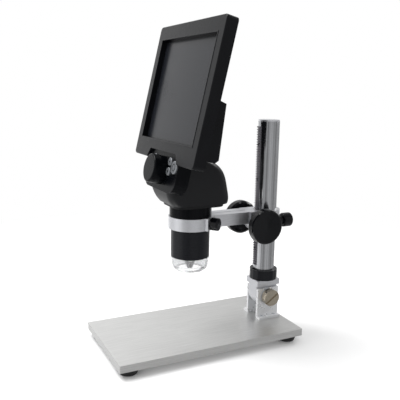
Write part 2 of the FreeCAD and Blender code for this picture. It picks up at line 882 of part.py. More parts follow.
def battery_pack():
    half = board_half - battery_inset
    return rounded_box(-half, half, board_back, board_back + battery_thick, board_low + battery_margin,
                       board_high - battery_margin, battery_corner, Y_AXIS)


def port(name):
    """A socket on the left edge of the main board, with its mouth in the side wall."""
    deep, tall = port_sizes[name]
    z = port_places[name]
    start = -back_half + port_from_side
    body = box(start, start + port_depth, board_back, board_back + deep, z - tall / 2, z + tall / 2)
    mouth = box(start - port_shell, start + port_depth - port_back, board_back + port_shell,
                board_back + deep - port_shell, z - tall / 2 + port_shell, z + tall / 2 - port_shell)
    return body.cut(mouth)


def board_sockets():
    return Part.makeCompound([port(name) for name in port_sizes])


# Control pod, buttons and focus wheel, in the same upright frame
pod_top_half = notch_half - notch_slant
pod_back = pod_setback + pod_depth
small_x = wheel_r + button_small_r + button_wheel_gap
large_x = small_x + button_small_r + button_large_r + button_gap
buttons = {
    "button_left_high": (-small_x, button_small_high, button_small_r),
    "button_left_low": (-small_x, button_small_low, button_small_r),
    "button_left_round": (-large_x, button_large_up, button_large_r),
    "button_right_high": (small_x, button_small_high, button_small_r),
    "button_right_low": (small_x, button_small_low, button_small_r),
    "button_right_round": (large_x, button_large_up, button_large_r),
}
switch_front = pod_setback + pod_wall + button_clear + button_flange + button_stem + button_travel + face_gap
switch_posts = [(sx * (wheel_r + 10.5), pod_low + pod_corner + 0.5) for sx in (-1, 1)]


def pod_solid(inset, start, end):
    """The pod's outline swept in depth: slanted to fit the notch, with round lower corners."""
    low = notch_half - face_gap - inset
    high = pod_top_half - face_gap - inset
    top = notch_height - face_gap - inset
    base = pod_low + inset
    r = pod_corner - inset
    s = math.sqrt(0.5)
    v = Vector
    mid_x = low - r + r * s
    mid_z = base + r - r * s
    right = Part.Arc(v(low, start, base + r), v(mid_x, start, mid_z), v(low - r, start, base))
    left = Part.Arc(v(-low + r, start, base), v(-mid_x, start, mid_z), v(-low, start, base + r))
    edges = [
        Part.LineSegment(v(-low, start, base + r), v(-low, start, 0)).toShape(),
        Part.LineSegment(v(-low, start, 0), v(-high, start, top)).toShape(),
        Part.LineSegment(v(-high, start, top), v(high, start, top)).toShape(),
        Part.LineSegment(v(high, start, top), v(low, start, 0)).toShape(),
        Part.LineSegment(v(low, start, 0), v(low, start, base + r)).toShape(),
        right.toShape(),
        Part.LineSegment(v(low - r, start, base), v(-low + r, start, base)).toShape(),
        left.toShape(),
    ]
    return Part.Face(Part.Wire(edges)).extrude(Vector(0, end - start, 0))


def control_pod():
    shell = pod_solid(0, pod_setback, pod_back)
    shell = shell.cut(pod_solid(pod_wall, pod_setback + pod_wall, pod_back))
    inner = pod_setback + pod_wall
    parts = [shell, rod(shaft_boss_r, 2.0, (0, inner - 0.5, wheel_up), Y_AXIS)]
    for x, z in switch_posts:
        parts.append(rod(2.0, switch_front - inner + 0.5, (x, inner - 0.5, z), Y_AXIS))
    tools = [rod(wheel_shaft_r + run_fit, pod_depth, (0, pod_setback, wheel_up), Y_AXIS)]
    for x, z, r in buttons.values():
        tools.append(rod(r + button_clear, pod_depth, (x, pod_setback, z), Y_AXIS))
    return cut(fuse(parts), tools)


def button(name):
    x, z, r = buttons[name]
    front = pod_setback - button_proud
    flange = pod_setback + pod_wall + button_clear
    end = flange + button_flange + button_stem
    cap = rod(r, flange + button_flange - front, (x, front, z), Y_AXIS)
    face = [e for e in cap.Edges if e.BoundBox.YMax < front + 1e-6]
    cap = cap.makeFillet(button_round, face)
    rim = rod(r + button_clear + button_rim, button_flange, (x, flange, z), Y_AXIS)
    rim = rim.common(pod_solid(pod_wall + button_clear, flange, flange + button_flange))
    return fuse([cap, rim, rod(button_stem_r, end - flange, (x, flange, z), Y_AXIS)])


def switch_board():
    half = large_x + switch_board_side
    board = box(-half, half, switch_front, switch_front + board_thick,
                pod_low + pod_corner - switch_board_drop, notch_height - switch_board_down)
    return board.cut(rod(shaft_boss_r + 0.3, board_thick, (0, switch_front, wheel_up), Y_AXIS))


def focus_wheel():
    back = pod_setback - wheel_gap
    body = rod(wheel_r, wheel_proud + back, (0, -wheel_proud, wheel_up), Y_AXIS)
    face = [e for e in body.Edges if e.BoundBox.YMax < -wheel_proud + 1e-6]
    body = body.makeFillet(wheel_round, face)
    hollow = rod(wheel_r - 2.5, back, (0, 0, wheel_up), Y_AXIS)
    hub = rod(2.2 * wheel_shaft_r, back, (0, 0, wheel_up), Y_AXIS)
    bore = rod(wheel_shaft_r + seat_fit, back + wheel_proud / 2, (0, -wheel_proud / 2, wheel_up), Y_AXIS)
    return fuse([body.cut(hollow), hub]).cut(bore)


roller_low = pod_back + 5.0


def focus_shaft():
    start = -wheel_proud / 2
    shaft = rod(wheel_shaft_r, roller_low + roller_length + 1 - start, (0, start, wheel_up), Y_AXIS)
    return fuse([shaft, rod(roller_r, roller_length, (0, roller_low, wheel_up), Y_AXIS)])


# Neck between the screen and the barrel
def neck_section(height, half, front, back, inset):
    r = min(neck_corner, 0.7 * half, 0.42 * (back - front)) - inset
    x1 = half - inset
    y0 = plate_y + front + inset
    y1 = plate_y + back - inset
    z = plate_top + height
    s = r * math.sqrt(0.5)
    v = Vector
    corners = [(x1 - r, y1 - r, 1, 1), (-x1 + r, y1 - r, -1, 1),
               (-x1 + r, y0 + r, -1, -1), (x1 - r, y0 + r, 1, -1)]
    edges = []
    last = None
    first = None
    for cx, cy, sx, sy in corners:
        on_x = v(cx + sx * r, cy, z)
        on_y = v(cx, cy + sy * r, z)
        a, b = (on_x, on_y) if sx * sy > 0 else (on_y, on_x)
        if last is not None:
            edges.append(Part.LineSegment(last, a).toShape())
        else:
            first = a
        edges.append(Part.Arc(a, v(cx + sx * s, cy + sy * s, z), b).toShape())
        last = b
    edges.append(Part.LineSegment(last, first).toShape())
    return Part.Wire(edges)


def neck_solid(inset):
    wires = [neck_section(h, half, front, back, inset) for h, half, front, back in neck_sections]
    return Part.makeLoft(wires, True, False)


def neck_shell(rear):
    shell = neck_solid(0).cut(neck_solid(neck_wall))
    keep_y = barrel_y
    reach = panel_width
    half_space = (box(-reach, reach, keep_y, keep_y + reach, 0, 3 * reach) if rear
                  else box(-reach, reach, keep_y - reach, keep_y, 0, 3 * reach))
    tools = [in_housing(pod_solid(0, -wheel_proud, pod_back)), in_housing(back_box(0, bezel_share))]
    tools.append(in_housing(box(-reach, reach, -reach, panel_thick, 0, reach)))
    shell = shell.common(half_space).cut(Part.makeCompound(tools))
    pieces = sorted(shell.Solids, key=lambda s: -s.Volume)
    return pieces[0]


def neck_base():
    low = neck_sections[0]
    wire = neck_section(low[0] - neck_rim, low[1] - neck_rim_inset, low[2] + neck_rim_inset,
                        low[3] - neck_rim_inset, 0)
    plate = Part.Face(wire).extrude(Vector(0, 0, neck_rim))
    return plate.cut(rod(barrel_r + seat_fit, 4 * neck_rim, (0, barrel_y, neck_low - 2 * neck_rim)))


# Barrel with its optics
barrel_high = neck_low + 8.0
guide_low = barrel_low + barrel_floor
guide_high = barrel_high - 3.0
lens_low = barrel_low + lens_from_floor
lean = math.radians(screen_lean)
link_y = screen_y + (roller_low + roller_length / 2) * math.cos(lean) + wheel_up * math.sin(lean)
link_top = screen_z + wheel_up + focus_travel + 4.0
guide_spots = [(sx * guide_from_axis, barrel_y) for sx in (-1, 1)]


def barrel_tube():
    pipe = tube(barrel_r, barrel_bore, barrel_high - barrel_low, (0, barrel_y, barrel_low))
    floor = rod(barrel_bore + 0.5, barrel_floor, (0, barrel_y, barrel_low))
    pipe = fuse([pipe, floor])
    tools = [rod(cone_seat_r, barrel_floor, (0, barrel_y, barrel_low))]
    tools += [rod(guide_r, barrel_floor, (x, y, barrel_low)) for x, y in guide_spots]
    return cut(pipe, tools)


def barrel_shoulder():
    low = arm_high + face_gap
    return tube(shoulder_r, barrel_r + seat_fit, neck_low - neck_rim - low, (0, barrel_y, low))


def led_hood():
    low = barrel_low - hood_height
    top_r = barrel_r - 0.15
    low_r = top_r - hood_taper
    wall = hood_wall
    profile = [
        (top_r, 0), (top_r - 0.3 * hood_taper, -0.6 * hood_height), (low_r + 0.4, -hood_height + 1.4),
        (low_r - 1.4, -hood_height), (low_r - hood_lip, -hood_height),
        (low_r - hood_lip, -hood_height + wall),
        (low_r - wall - 0.8, -hood_height + wall), (low_r - wall + 0.3, -hood_height + wall + 1.2),
        (top_r - 0.3 * hood_taper - wall, -0.6 * hood_height), (top_r - wall, 0),
    ]
    return turned(profile, (0, barrel_y, low + hood_height), Z_AXIS)


def nose_cone():
    seat = rod(cone_seat_r - seat_fit, barrel_floor, (0, barrel_y, barrel_low))
    body = cone(cone_tip_r, cone_r, cone_height, (0, barrel_y, barrel_low - cone_height))
    hollow = cone(cone_tip_r - cone_wall, cone_r - cone_wall, cone_height + barrel_floor,
                  (0, barrel_y, barrel_low - cone_height))
    return fuse([seat, body]).cut(hollow)


def led_board():
    low = barrel_low - led_board_thick
    pieces = [tube(led_board_r, cone_r + 0.2, led_board_thick, (0, barrel_y, low))]
    ring = (led_board_r + cone_r) / 2
    for i in range(led_count):
        a = 2 * math.pi * (i + 0.5) / led_count
        base = (ring * math.cos(a), barrel_y + ring * math.sin(a), low - led_height)
        pieces.append(rod(led_r, led_height + led_board_thick / 2, base))
    return fuse(pieces)


def lens_carriage():
    body = tube(lens_tube_r, lens_tube_r - lens_tube_wall, lens_tube_length, (0, barrel_y, lens_low))
    plate_low = lens_low + lens_tube_length - 6.0
    wing = box(-guide_from_axis - 2.6, guide_from_axis + 2.6, barrel_y - 3.0, barrel_y + 3.0,
               plate_low, plate_low + 4.0)
    link_x = roller_r + loose_fit
    link = box(link_x, link_x + 2.4, link_y - 1.2, link_y + 1.2, plate_low, link_top)
    bridge = box(link_x, link_x + 2.4, link_y - 1.2, barrel_y, plate_low, plate_low + 4.0)
    body = fuse([body, wing, link, bridge])
    tools = [rod(lens_tube_r - lens_tube_wall, lens_tube_length, (0, barrel_y, lens_low))]
    tools += [rod(guide_r + run_fit, 4.0, (x, y, plate_low)) for x, y in guide_spots]
    return cut(body, tools)


def lenses():
    r = lens_tube_r - lens_tube_wall - seat_fit
    stack = []
    seats = (
        (lens_low + lens_bottom_rise, lens_front_thick),
        (lens_low + lens_tube_length - lens_top_drop, lens_rear_thick),
    )
    for low, thick in seats:
        disc = rod(r, thick, (0, barrel_y, low))
        crown = Part.makeSphere(2.2 * r, Vector(0, barrel_y, low + thick - 2.2 * r + lens_crown))
        stack.append(disc.common(crown))
    return Part.makeCompound(stack)


def guide_rods():
    return Part.makeCompound([rod(guide_r - seat_fit, guide_high - barrel_low - 0.5, (x, y, barrel_low + 0.5))
                              for x, y in guide_spots])


def sensor_mount():
    disc = rod(barrel_bore - seat_fit, 3.0, (0, barrel_y, guide_high))
    link_x = roller_r + loose_fit
    slot = box(link_x - 1, link_x + 3.4, link_y - 2.2, link_y + 2.2, guide_high, guide_high + 3.0)
    return cut(disc, [rod(lens_tube_r, 3.0, (0, barrel_y, guide_high)), slot])


def sensor_board():
    low = guide_high + 3.0
    half = sensor_side / 2
    board = box(-half, half, barrel_y - half, barrel_y + half, low, low + sensor_thick)
    chip = box(-sensor_chip / 2, sensor_chip / 2, barrel_y - sensor_chip / 2, barrel_y + sensor_chip / 2,
               low - 1.2, low + 0.5)
    return fuse([board, chip])


housing_makers = {
    "front_bezel": front_bezel,
    "screen_glass": screen_glass,
    "lcd_module": lcd_module,
    "rear_cover": rear_cover,
    "main_board": main_board,
    "board_screws": board_screws,
    "cover_screws": cover_screws,
    "battery_pack": battery_pack,
    "board_sockets": board_sockets,
    "control_pod": control_pod,
    "switch_board": switch_board,
    "focus_wheel": focus_wheel,
    "focus_shaft": focus_shaft,
}


if __name__ == "__main__":
    save("base_plate", base_plate())
    save("rubber_feet", rubber_feet())
    save("foot_screws", foot_screws())
    save("hinge_cheek_left", hinge_cheek(-1))
    save("hinge_cheek_right", hinge_cheek(1))
    save("cheek_screws", cheek_screws())
    save("hinge_block", hinge_block())
    save("column_collar", column_collar())
    save("collar_grub", collar_grub())
    save("column_tube", column_tube())
    save("rack_strip", rack_strip())
    save("rack_screws", rack_screws())
    save("column_cap", column_cap())
    save("tilt_bolt", tilt_bolt())
    save("tilt_washer", tilt_washer())
    save("tilt_nut", tilt_nut())
    save("support_arm", support_arm())
    save("slide_bushes", slide_bushes())
    save("shaft_bushes", shaft_bushes())
    save("pinion_shaft", pinion_shaft())
    save("coarse_knob_left", coarse_knob(-1))
    save("coarse_knob_right", coarse_knob(1))
    save("knob_grubs", knob_grubs())
    save("lock_screw", lock_screw())
    save("lock_knob", lock_knob())
    save("ring_screw", ring_screw())
    save("ring_screw_knob", ring_screw_knob())
    for name, maker in housing_makers.items():
        save(name, in_housing(maker()))
    for name in buttons:
        save(name, in_housing(button(name)))
    save("neck_front_shell", neck_shell(False))
    save("neck_rear_shell", neck_shell(True))
    save("neck_base", neck_base())
    save("barrel_tube", barrel_tube())
    save("barrel_shoulder", barrel_shoulder())
    save("led_hood", led_hood())
    save("nose_cone", nose_cone())
    save("led_board", led_board())
    save("lens_carriage", lens_carriage())
    save("lenses", lenses())
    save("guide_rods", guide_rods())
    save("sensor_mount", sensor_mount())
    save("sensor_board", sensor_board())
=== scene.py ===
"""Finishes and fine pieces of an LCD digital microscope on an aluminium stand."""
import math

import bmesh
import bpy
from bpy.props import FloatProperty, FloatVectorProperty, PointerProperty
from mathutils import Matrix, Vector


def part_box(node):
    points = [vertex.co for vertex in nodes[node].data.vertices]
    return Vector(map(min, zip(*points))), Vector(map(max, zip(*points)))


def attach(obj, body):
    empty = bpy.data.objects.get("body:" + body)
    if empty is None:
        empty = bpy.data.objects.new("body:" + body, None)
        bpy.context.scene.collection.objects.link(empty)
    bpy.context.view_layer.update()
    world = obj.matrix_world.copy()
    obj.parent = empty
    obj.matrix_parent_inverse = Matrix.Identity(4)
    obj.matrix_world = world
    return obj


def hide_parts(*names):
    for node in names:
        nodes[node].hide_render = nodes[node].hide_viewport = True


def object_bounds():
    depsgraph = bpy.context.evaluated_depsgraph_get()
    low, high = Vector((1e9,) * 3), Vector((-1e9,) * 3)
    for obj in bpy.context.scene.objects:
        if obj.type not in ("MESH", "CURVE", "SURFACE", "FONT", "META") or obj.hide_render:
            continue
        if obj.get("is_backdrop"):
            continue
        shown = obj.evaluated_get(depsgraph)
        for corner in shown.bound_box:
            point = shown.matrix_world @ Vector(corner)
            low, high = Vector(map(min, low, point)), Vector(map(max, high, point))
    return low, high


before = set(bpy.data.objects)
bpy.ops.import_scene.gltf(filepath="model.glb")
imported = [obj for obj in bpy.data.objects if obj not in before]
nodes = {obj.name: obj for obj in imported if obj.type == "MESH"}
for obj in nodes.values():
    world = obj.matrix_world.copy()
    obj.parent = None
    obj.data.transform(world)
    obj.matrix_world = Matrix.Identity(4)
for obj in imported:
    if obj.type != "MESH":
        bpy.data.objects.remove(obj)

bl_info = {
    "name": "Digital Microscope Finisher",
    "version": (1, 0, 0),
    "blender": (4, 5, 0),
    "location": "3D Viewport > Sidebar > Microscope",
    "description": "Gives each piece of a stand microscope its real finish and fine detail",
    "category": "Object",
}

MM = 0.001
finishes = {}

# Roughness of the noise in every grain, and the range that most of its values fall in
noise_roughness = 0.55
noise_low = 0.3
noise_high = 0.7


def linear(hex_colour):
    """An sRGB hex colour as linear red, green, blue and full alpha."""
    parts = [int(hex_colour[i:i + 2], 16) / 255 for i in (1, 3, 5)]
    rgb = (c / 12.92 if c <= 0.04045 else ((c + 0.055) / 1.055) ** 2.4 for c in parts)
    return tuple(rgb) + (1.0,)


def add(tree, kind, inputs=None, **settings):
    """Adds one shader node, sets its own settings, then fills or links its inputs."""
    node = tree.nodes.new(kind)
    for key, value in settings.items():
        setattr(node, key, value)
    for key, value in (inputs or {}).items():
        if isinstance(value, bpy.types.NodeSocket):
            tree.links.new(value, node.inputs[key])
        else:
            node.inputs[key].default_value = value
    return node


def start_finish(name):
    """A new empty material under the finish's name, with its node tree."""
    material = bpy.data.materials.new(name)
    material.use_nodes = True
    material.node_tree.nodes.clear()
    finishes[name] = material
    return material.node_tree


def end_finish(tree, inputs):
    """The principled shader of a finish, linked to the material's output."""
    shader = add(tree, "ShaderNodeBsdfPrincipled", inputs)
    add(tree, "ShaderNodeOutputMaterial", {"Surface": shader.outputs["BSDF"]})


def grain(tree, size, detail, stretch=(1.0, 1.0, 1.0)):
    """Noise whose features are about size metres across, drawn out along any axis by stretch."""
    place = add(tree, "ShaderNodeTexCoord").outputs["Object"]
    scale = tuple(1.0 / s for s in stretch)
    mapped = add(tree, "ShaderNodeMapping", {"Vector": place, "Scale": scale})
    noise = add(tree, "ShaderNodeTexNoise", {
        "Vector": mapped.outputs["Vector"], "Scale": 1.0 / size, "Detail": detail,
        "Roughness": noise_roughness,
    })
    return noise.outputs["Fac"]


def sums(tree, operation, *values):
    """The result of one operation on patterns and numbers."""
    return add(tree, "ShaderNodeMath", dict(enumerate(values)), operation=operation).outputs[0]


def spread(tree, value, low, high, low_in=noise_low, high_in=noise_high):
    """Remaps a pattern from its usual middle range to the range that the surface needs."""
    ranged = add(tree, "ShaderNodeMapRange", {
        "Value": value, "From Min": low_in, "From Max": high_in, "To Min": low, "To Max": high,
    })
    return ranged.outputs["Result"]


def tinted(tree, value, colour, dark, light):
    """A colour that a pattern varies from dark to light times the one given."""
    low = tuple(min(1.0, c * dark) for c in colour) + (1.0,)
    high = tuple(min(1.0, c * light) for c in colour) + (1.0,)
    # A colour mix has its two colours in inputs 6 and 7 and its result in output 2
    blend = add(tree, "ShaderNodeMix", {0: value, 6: low, 7: high}, data_type="RGBA")
    return blend.outputs[2]


def relief(tree, height, depth):
    """A bump from a pattern, whose full swing is depth metres."""
    bump = add(tree, "ShaderNodeBump", {"Height": height, "Distance": depth, "Strength": 1.0})
    return bump.outputs["Normal"]


def anodised_plate(look):
    """Aluminium plate, brushed along its length and satin anodised: soft, with fine long lines."""
    tree = start_finish("anodised_aluminium_plate")
    brush = grain(tree, look.brush_spacing, 3.0, (1.0, 60.0, 1.0))
    cloud = grain(tree, 45 * MM, 2.0)
    rough = sums(tree, "ADD", spread(tree, brush, 0.34, 0.44), spread(tree, cloud, -0.02, 0.03))
    end_finish(tree, {
        "Base Color": tinted(tree, spread(tree, brush, 0.0, 1.0), look.plate, 0.86, 1.1),
        "Metallic": 0.85, "Roughness": rough,
        "Normal": relief(tree, brush, 0.002 * MM),
    })


def machined_aluminium(look):
    """Milled aluminium, clear anodised: bright, with close cutter lines along the arm."""
    tree = start_finish("machined_aluminium")
    cutter = grain(tree, look.brush_spacing, 2.0, (1.0, 30.0, 1.0))
    end_finish(tree, {
        "Base Color": tinted(tree, spread(tree, cutter, 0.0, 1.0), look.aluminium, 0.88, 1.08),
        "Metallic": 0.9, "Roughness": spread(tree, cutter, 0.34, 0.42),
        "Normal": relief(tree, cutter, 0.002 * MM),
    })


def polished_steel(look):
    """Centreless ground steel tube, polished: bright, with faint rings round it and smudges."""
    tree = start_finish("polished_stainless_steel")
    rings = grain(tree, look.brush_spacing, 2.0, (40.0, 40.0, 1.0))
    smudge = grain(tree, 18 * MM, 3.0)
    rough = sums(tree, "ADD", spread(tree, rings, 0.12, 0.17), spread(tree, smudge, 0.0, 0.04))
    end_finish(tree, {
        "Base Color": tinted(tree, smudge, look.steel, 0.9, 1.08),
        "Metallic": 1.0, "Roughness": rough,
        "Normal": relief(tree, rings, 0.002 * MM),
    })


def nickel_plate(look):
    """Bright nickel on turned steel: slightly warm mirror with soft orange peel."""
    tree = start_finish("nickel_plated_steel")
    peel = grain(tree, 1.6 * MM, 2.0)
    end_finish(tree, {
        "Base Color": tinted(tree, peel, look.nickel, 0.94, 1.05),
        "Metallic": 1.0, "Roughness": spread(tree, peel, 0.13, 0.22),
        "Normal": relief(tree, peel, 0.01 * MM),
    })


def bright_zinc(look):
    """Clear zinc on the hinge brackets: bright and milky, so that it also scatters light."""
    tree = start_finish("bright_zinc_brackets")
    bloom = grain(tree, 6 * MM, 1.0)
    end_finish(tree, {
        "Base Color": tinted(tree, bloom, look.bracket, 0.97, 1.02),
        "Metallic": 0.6, "Roughness": spread(tree, bloom, 0.26, 0.32),
        "Normal": relief(tree, bloom, 0.0004 * MM),
    })


def dark_steel(look):
    """Milled rack of plain steel, oiled: darker than the tube that it sits in."""
    tree = start_finish("oiled_steel_rack")
    oil = grain(tree, 4 * MM, 2.0)
    end_finish(tree, {
        "Base Color": tinted(tree, oil, look.rack, 0.85, 1.15),
        "Metallic": 1.0, "Roughness": spread(tree, oil, 0.30, 0.42),
        "Normal": relief(tree, oil, 0.004 * MM),
    })


def light_phosphor(look):
    """Silicone with phosphor over each light: pale yellow and waxy while it is off."""
    tree = start_finish("light_phosphor")
    mix = grain(tree, 0.3 * MM, 2.0)
    end_finish(tree, {
        "Base Color": tinted(tree, mix, look.phosphor, 0.9, 1.1),
        "Roughness": spread(tree, mix, 0.25, 0.38), "Subsurface Weight": 0.15,
    })


def mark_print(look):
    """Dark pad print on the buttons: thin matt ink."""
    tree = start_finish("pad_printed_ink")
    film = grain(tree, 0.2 * MM, 2.0)
    end_finish(tree, {
        "Base Color": tinted(tree, film, look.ink, 0.8, 1.3),
        "Roughness": spread(tree, film, 0.45, 0.6), "Specular IOR Level": 0.3,
    })


def zinc_plate(look):
    """Blue-white zinc on small screws: satin, a little uneven."""
    tree = start_finish("zinc_plated_steel")
    bloom = grain(tree, 0.8 * MM, 3.0)
    end_finish(tree, {
        "Base Color": tinted(tree, bloom, look.zinc, 0.85, 1.15),
        "Metallic": 1.0, "Roughness": spread(tree, bloom, 0.28, 0.42),
        "Normal": relief(tree, bloom, 0.01 * MM),
    })


def turned_brass(look):
    """Brass bushes fresh from the lathe: yellow, with turning marks."""
    tree = start_finish("turned_brass")
    marks = grain(tree, 0.25 * MM, 2.0, (1.0, 25.0, 25.0))
    end_finish(tree, {
        "Base Color": tinted(tree, marks, look.brass, 0.8, 1.2),
        "Metallic": 1.0, "Roughness": spread(tree, marks, 0.22, 0.34),
        "Normal": relief(tree, marks, 0.01 * MM),
    })


def moulded_rubber(look):
    """Moulded black rubber feet: dull, slightly dusty, with a fine matt skin."""
    tree = start_finish("moulded_rubber")
    skin = grain(tree, 0.35 * MM, 4.0)
    dust = grain(tree, 7 * MM, 3.0)
    end_finish(tree, {
        "Base Color": tinted(tree, spread(tree, dust, 0.0, 0.6), look.rubber, 0.7, 1.5),
        "Roughness": spread(tree, skin, 0.62, 0.82), "Specular IOR Level": 0.35,
        "Normal": relief(tree, skin, 0.03 * MM),
    })


def satin_abs(look):
    """Screen housing of black ABS from a spark eroded mould: fine even grain, semi gloss."""
    tree = start_finish("satin_black_abs")
    spark = grain(tree, look.spark_grain, 2.0)
    wear = grain(tree, 30 * MM, 4.0)
    rough = sums(tree, "ADD", spread(tree, spark, 0.25, 0.34), spread(tree, wear, -0.03, 0.05))
    end_finish(tree, {
        "Base Color": tinted(tree, spread(tree, wear, 0.0, 1.0), look.housing, 0.75, 1.3),
        "Roughness": rough, "IOR": 1.54, "Specular IOR Level": 0.16,
        "Normal": relief(tree, spark, 0.012 * MM),
    })


def matt_abs(look):
    """Neck mouldings of black ABS with a coarser grain: soft broad highlights."""
    tree = start_finish("matt_black_abs")
    spark = grain(tree, 1.4 * look.spark_grain, 3.0)
    wear = grain(tree, 22 * MM, 3.0)
    end_finish(tree, {
        "Base Color": tinted(tree, wear, look.neck, 0.75, 1.4),
        "Roughness": spread(tree, spark, 0.36, 0.46), "IOR": 1.54, "Specular IOR Level": 0.24,
        "Normal": relief(tree, spark, 0.02 * MM),
    })


def gloss_abs(look):
    """Polished black ABS of the pod, wheel and shoulder: clear reflections with faint smudges."""
    tree = start_finish("gloss_black_abs")
    smudge = grain(tree, 9 * MM, 4.0)
    flow = grain(tree, 3.5 * MM, 1.0)
    end_finish(tree, {
        "Base Color": tinted(tree, smudge, look.pod, 0.7, 1.3),
        "Roughness": spread(tree, smudge, 0.20, 0.30), "IOR": 1.54, "Specular IOR Level": 0.07,
        "Normal": relief(tree, flow, 0.006 * MM),
    })


def black_anodised(look):
    """Turned aluminium barrel, black anodised: satin, with fine turning rings."""
    tree = start_finish("black_anodised_barrel")
    rings = grain(tree, 0.5 * look.brush_spacing, 2.0, (40.0, 40.0, 1.0))
    end_finish(tree, {
        "Base Color": tinted(tree, rings, look.barrel, 0.8, 1.4),
        "Roughness": spread(tree, rings, 0.26, 0.36), "IOR": 1.5, "Specular IOR Level": 0.25,
        "Normal": relief(tree, rings, 0.008 * MM),
    })


def phenolic(look):
    """Black phenolic knobs from a polished mould: deep gloss, tiny moulding haze."""
    tree = start_finish("black_phenolic")
    haze = grain(tree, 4 * MM, 4.0)
    end_finish(tree, {
        "Base Color": tinted(tree, haze, look.knob, 0.8, 1.4),
        "Roughness": spread(tree, haze, 0.12, 0.22), "IOR": 1.55, "Specular IOR Level": 0.2,
        "Normal": relief(tree, haze, 0.01 * MM),
    })


def silver_paint(look):
    """Silver painted ABS buttons: fine metal flake under a satin lacquer."""
    tree = start_finish("silver_painted_abs")
    flake = grain(tree, 0.18 * MM, 1.0)
    end_finish(tree, {
        "Base Color": tinted(tree, spread(tree, flake, 0.0, 1.0), look.button, 0.8, 1.2),
        "Metallic": 0.6, "Roughness": spread(tree, flake, 0.30, 0.40),
        "Coat Weight": 0.3, "Coat Roughness": 0.2,
        "Normal": relief(tree, flake, 0.004 * MM),
    })


def frosted_acrylic(look):
    """Turned and vapour polished acrylic hood: clear, with a light milky haze."""
    tree = start_finish("frosted_acrylic")
    frost = grain(tree, 0.5 * MM, 3.0)
    end_finish(tree, {
        "Base Color": tinted(tree, frost, look.hood, 0.96, 1.0),
        "Roughness": spread(tree, frost, 0.06, 0.12), "IOR": 1.49,
        "Transmission Weight": 0.82,
        "Normal": relief(tree, frost, 0.001 * MM),
    })


def cover_glass(look):
    """Cover glass of the display, lightly etched, with a black printed border at its edge."""
    tree = start_finish("display_cover_glass")
    smudge = grain(tree, 26 * MM, 3.0)
    place = add(tree, "ShaderNodeTexCoord").outputs["Object"]
    low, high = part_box("screen_glass")
    middle = (low + high) / 2
    lean = math.atan2(high.y - low.y, high.z - low.z)
    centred = add(tree, "ShaderNodeMapping", {"Vector": place, "Location": -middle})
    upright = add(tree, "ShaderNodeMapping", {
        "Vector": centred.outputs["Vector"], "Rotation": (lean, 0.0, 0.0),
    })
    sides = add(tree, "ShaderNodeSeparateXYZ", {"Vector": upright.outputs["Vector"]})
    reach_x = (high.x - low.x) / 2 - look.screen_border
    reach_z = math.hypot(high.y - low.y, high.z - low.z) / 2 - look.screen_border
    in_x = sums(tree, "LESS_THAN", sums(tree, "ABSOLUTE", sides.outputs["X"]), reach_x)
    in_z = sums(tree, "LESS_THAN", sums(tree, "ABSOLUTE", sides.outputs["Z"]), reach_z)
    shown = sums(tree, "MULTIPLY", in_x, in_z)
    end_finish(tree, {
        "Base Color": tinted(tree, shown, look.screen, 0.3, 1.0),
        "Roughness": spread(tree, smudge, 0.20, 0.28), "IOR": 1.52, "Specular IOR Level": 0.27,
    })


def optical_glass(look):
    """Ground and polished lenses with a faint violet coating."""
    tree = start_finish("coated_optical_glass")
    coating = grain(tree, 5 * MM, 1.0)
    end_finish(tree, {
        "Base Color": tinted(tree, coating, look.lens_coating, 0.92, 1.05),
        "Roughness": spread(tree, coating, 0.02, 0.05), "IOR": 1.62, "Transmission Weight": 1.0,
    })


def display_panel(look):
    """Polariser sheet and metal frame of the display: dull dark grey with a fine haze."""
    tree = start_finish("display_polariser")
    haze = grain(tree, 0.6 * MM, 2.0)
    end_finish(tree, {
        "Base Color": tinted(tree, haze, look.display, 0.75, 1.3),
        "Roughness": spread(tree, haze, 0.38, 0.50),
        "Normal": relief(tree, haze, 0.01 * MM),
    })


def circuit_board(look):
    """Glass epoxy board under green solder mask: copper tracks stand out as paler lines."""
    tree = start_finish("solder_masked_board")
    place = add(tree, "ShaderNodeTexCoord").outputs["Object"]
    spacing = 2.4 * MM
    edge_low, edge_high = 0.06, 0.12
    tracks = add(tree, "ShaderNodeTexVoronoi", {
        "Vector": place, "Scale": 1.0 / spacing, "Randomness": 0.35,
    }, distance="MANHATTAN", feature="DISTANCE_TO_EDGE").outputs["Distance"]
    line = spread(tree, tracks, 1.0, 0.0, edge_low, edge_high)
    end_finish(tree, {
        "Base Color": tinted(tree, line, look.board, 0.6, 1.6),
        "Roughness": spread(tree, tracks, 0.28, 0.40),
        "Normal": relief(tree, line, 0.03 * MM),
    })


def black_board(look):
    """Glass epoxy board under black solder mask, behind the buttons: the weave barely shows."""
    tree = start_finish("black_masked_board")
    weave = grain(tree, 1.2 * MM, 1.0)
    end_finish(tree, {
        "Base Color": tinted(tree, weave, look.ink, 0.7, 1.3),
        "Roughness": spread(tree, weave, 0.32, 0.44),
        "Normal": relief(tree, weave, 0.02 * MM),
    })


def battery_wrap(look):
    """Heat shrunk polyester sleeve round the cell: smooth silver grey with soft creases."""
    tree = start_finish("shrink_sleeve")
    creases = grain(tree, 6 * MM, 3.0, (1.0, 1.0, 4.0))
    end_finish(tree, {
        "Base Color": tinted(tree, creases, look.battery, 0.75, 1.25),
        "Roughness": spread(tree, creases, 0.22, 0.40),
        "Normal": relief(tree, creases, 0.15 * MM),
    })


def acetal(look):
    """Machined white acetal bushes: waxy, with fine tool rings."""
    tree = start_finish("white_acetal")
    rings = grain(tree, 0.3 * MM, 2.0, (25.0, 25.0, 1.0))
    end_finish(tree, {
        "Base Color": tinted(tree, rings, look.bush, 0.92, 1.06),
        "Roughness": spread(tree, rings, 0.35, 0.48), "Subsurface Weight": 0.08,
        "Normal": relief(tree, rings, 0.01 * MM),
    })


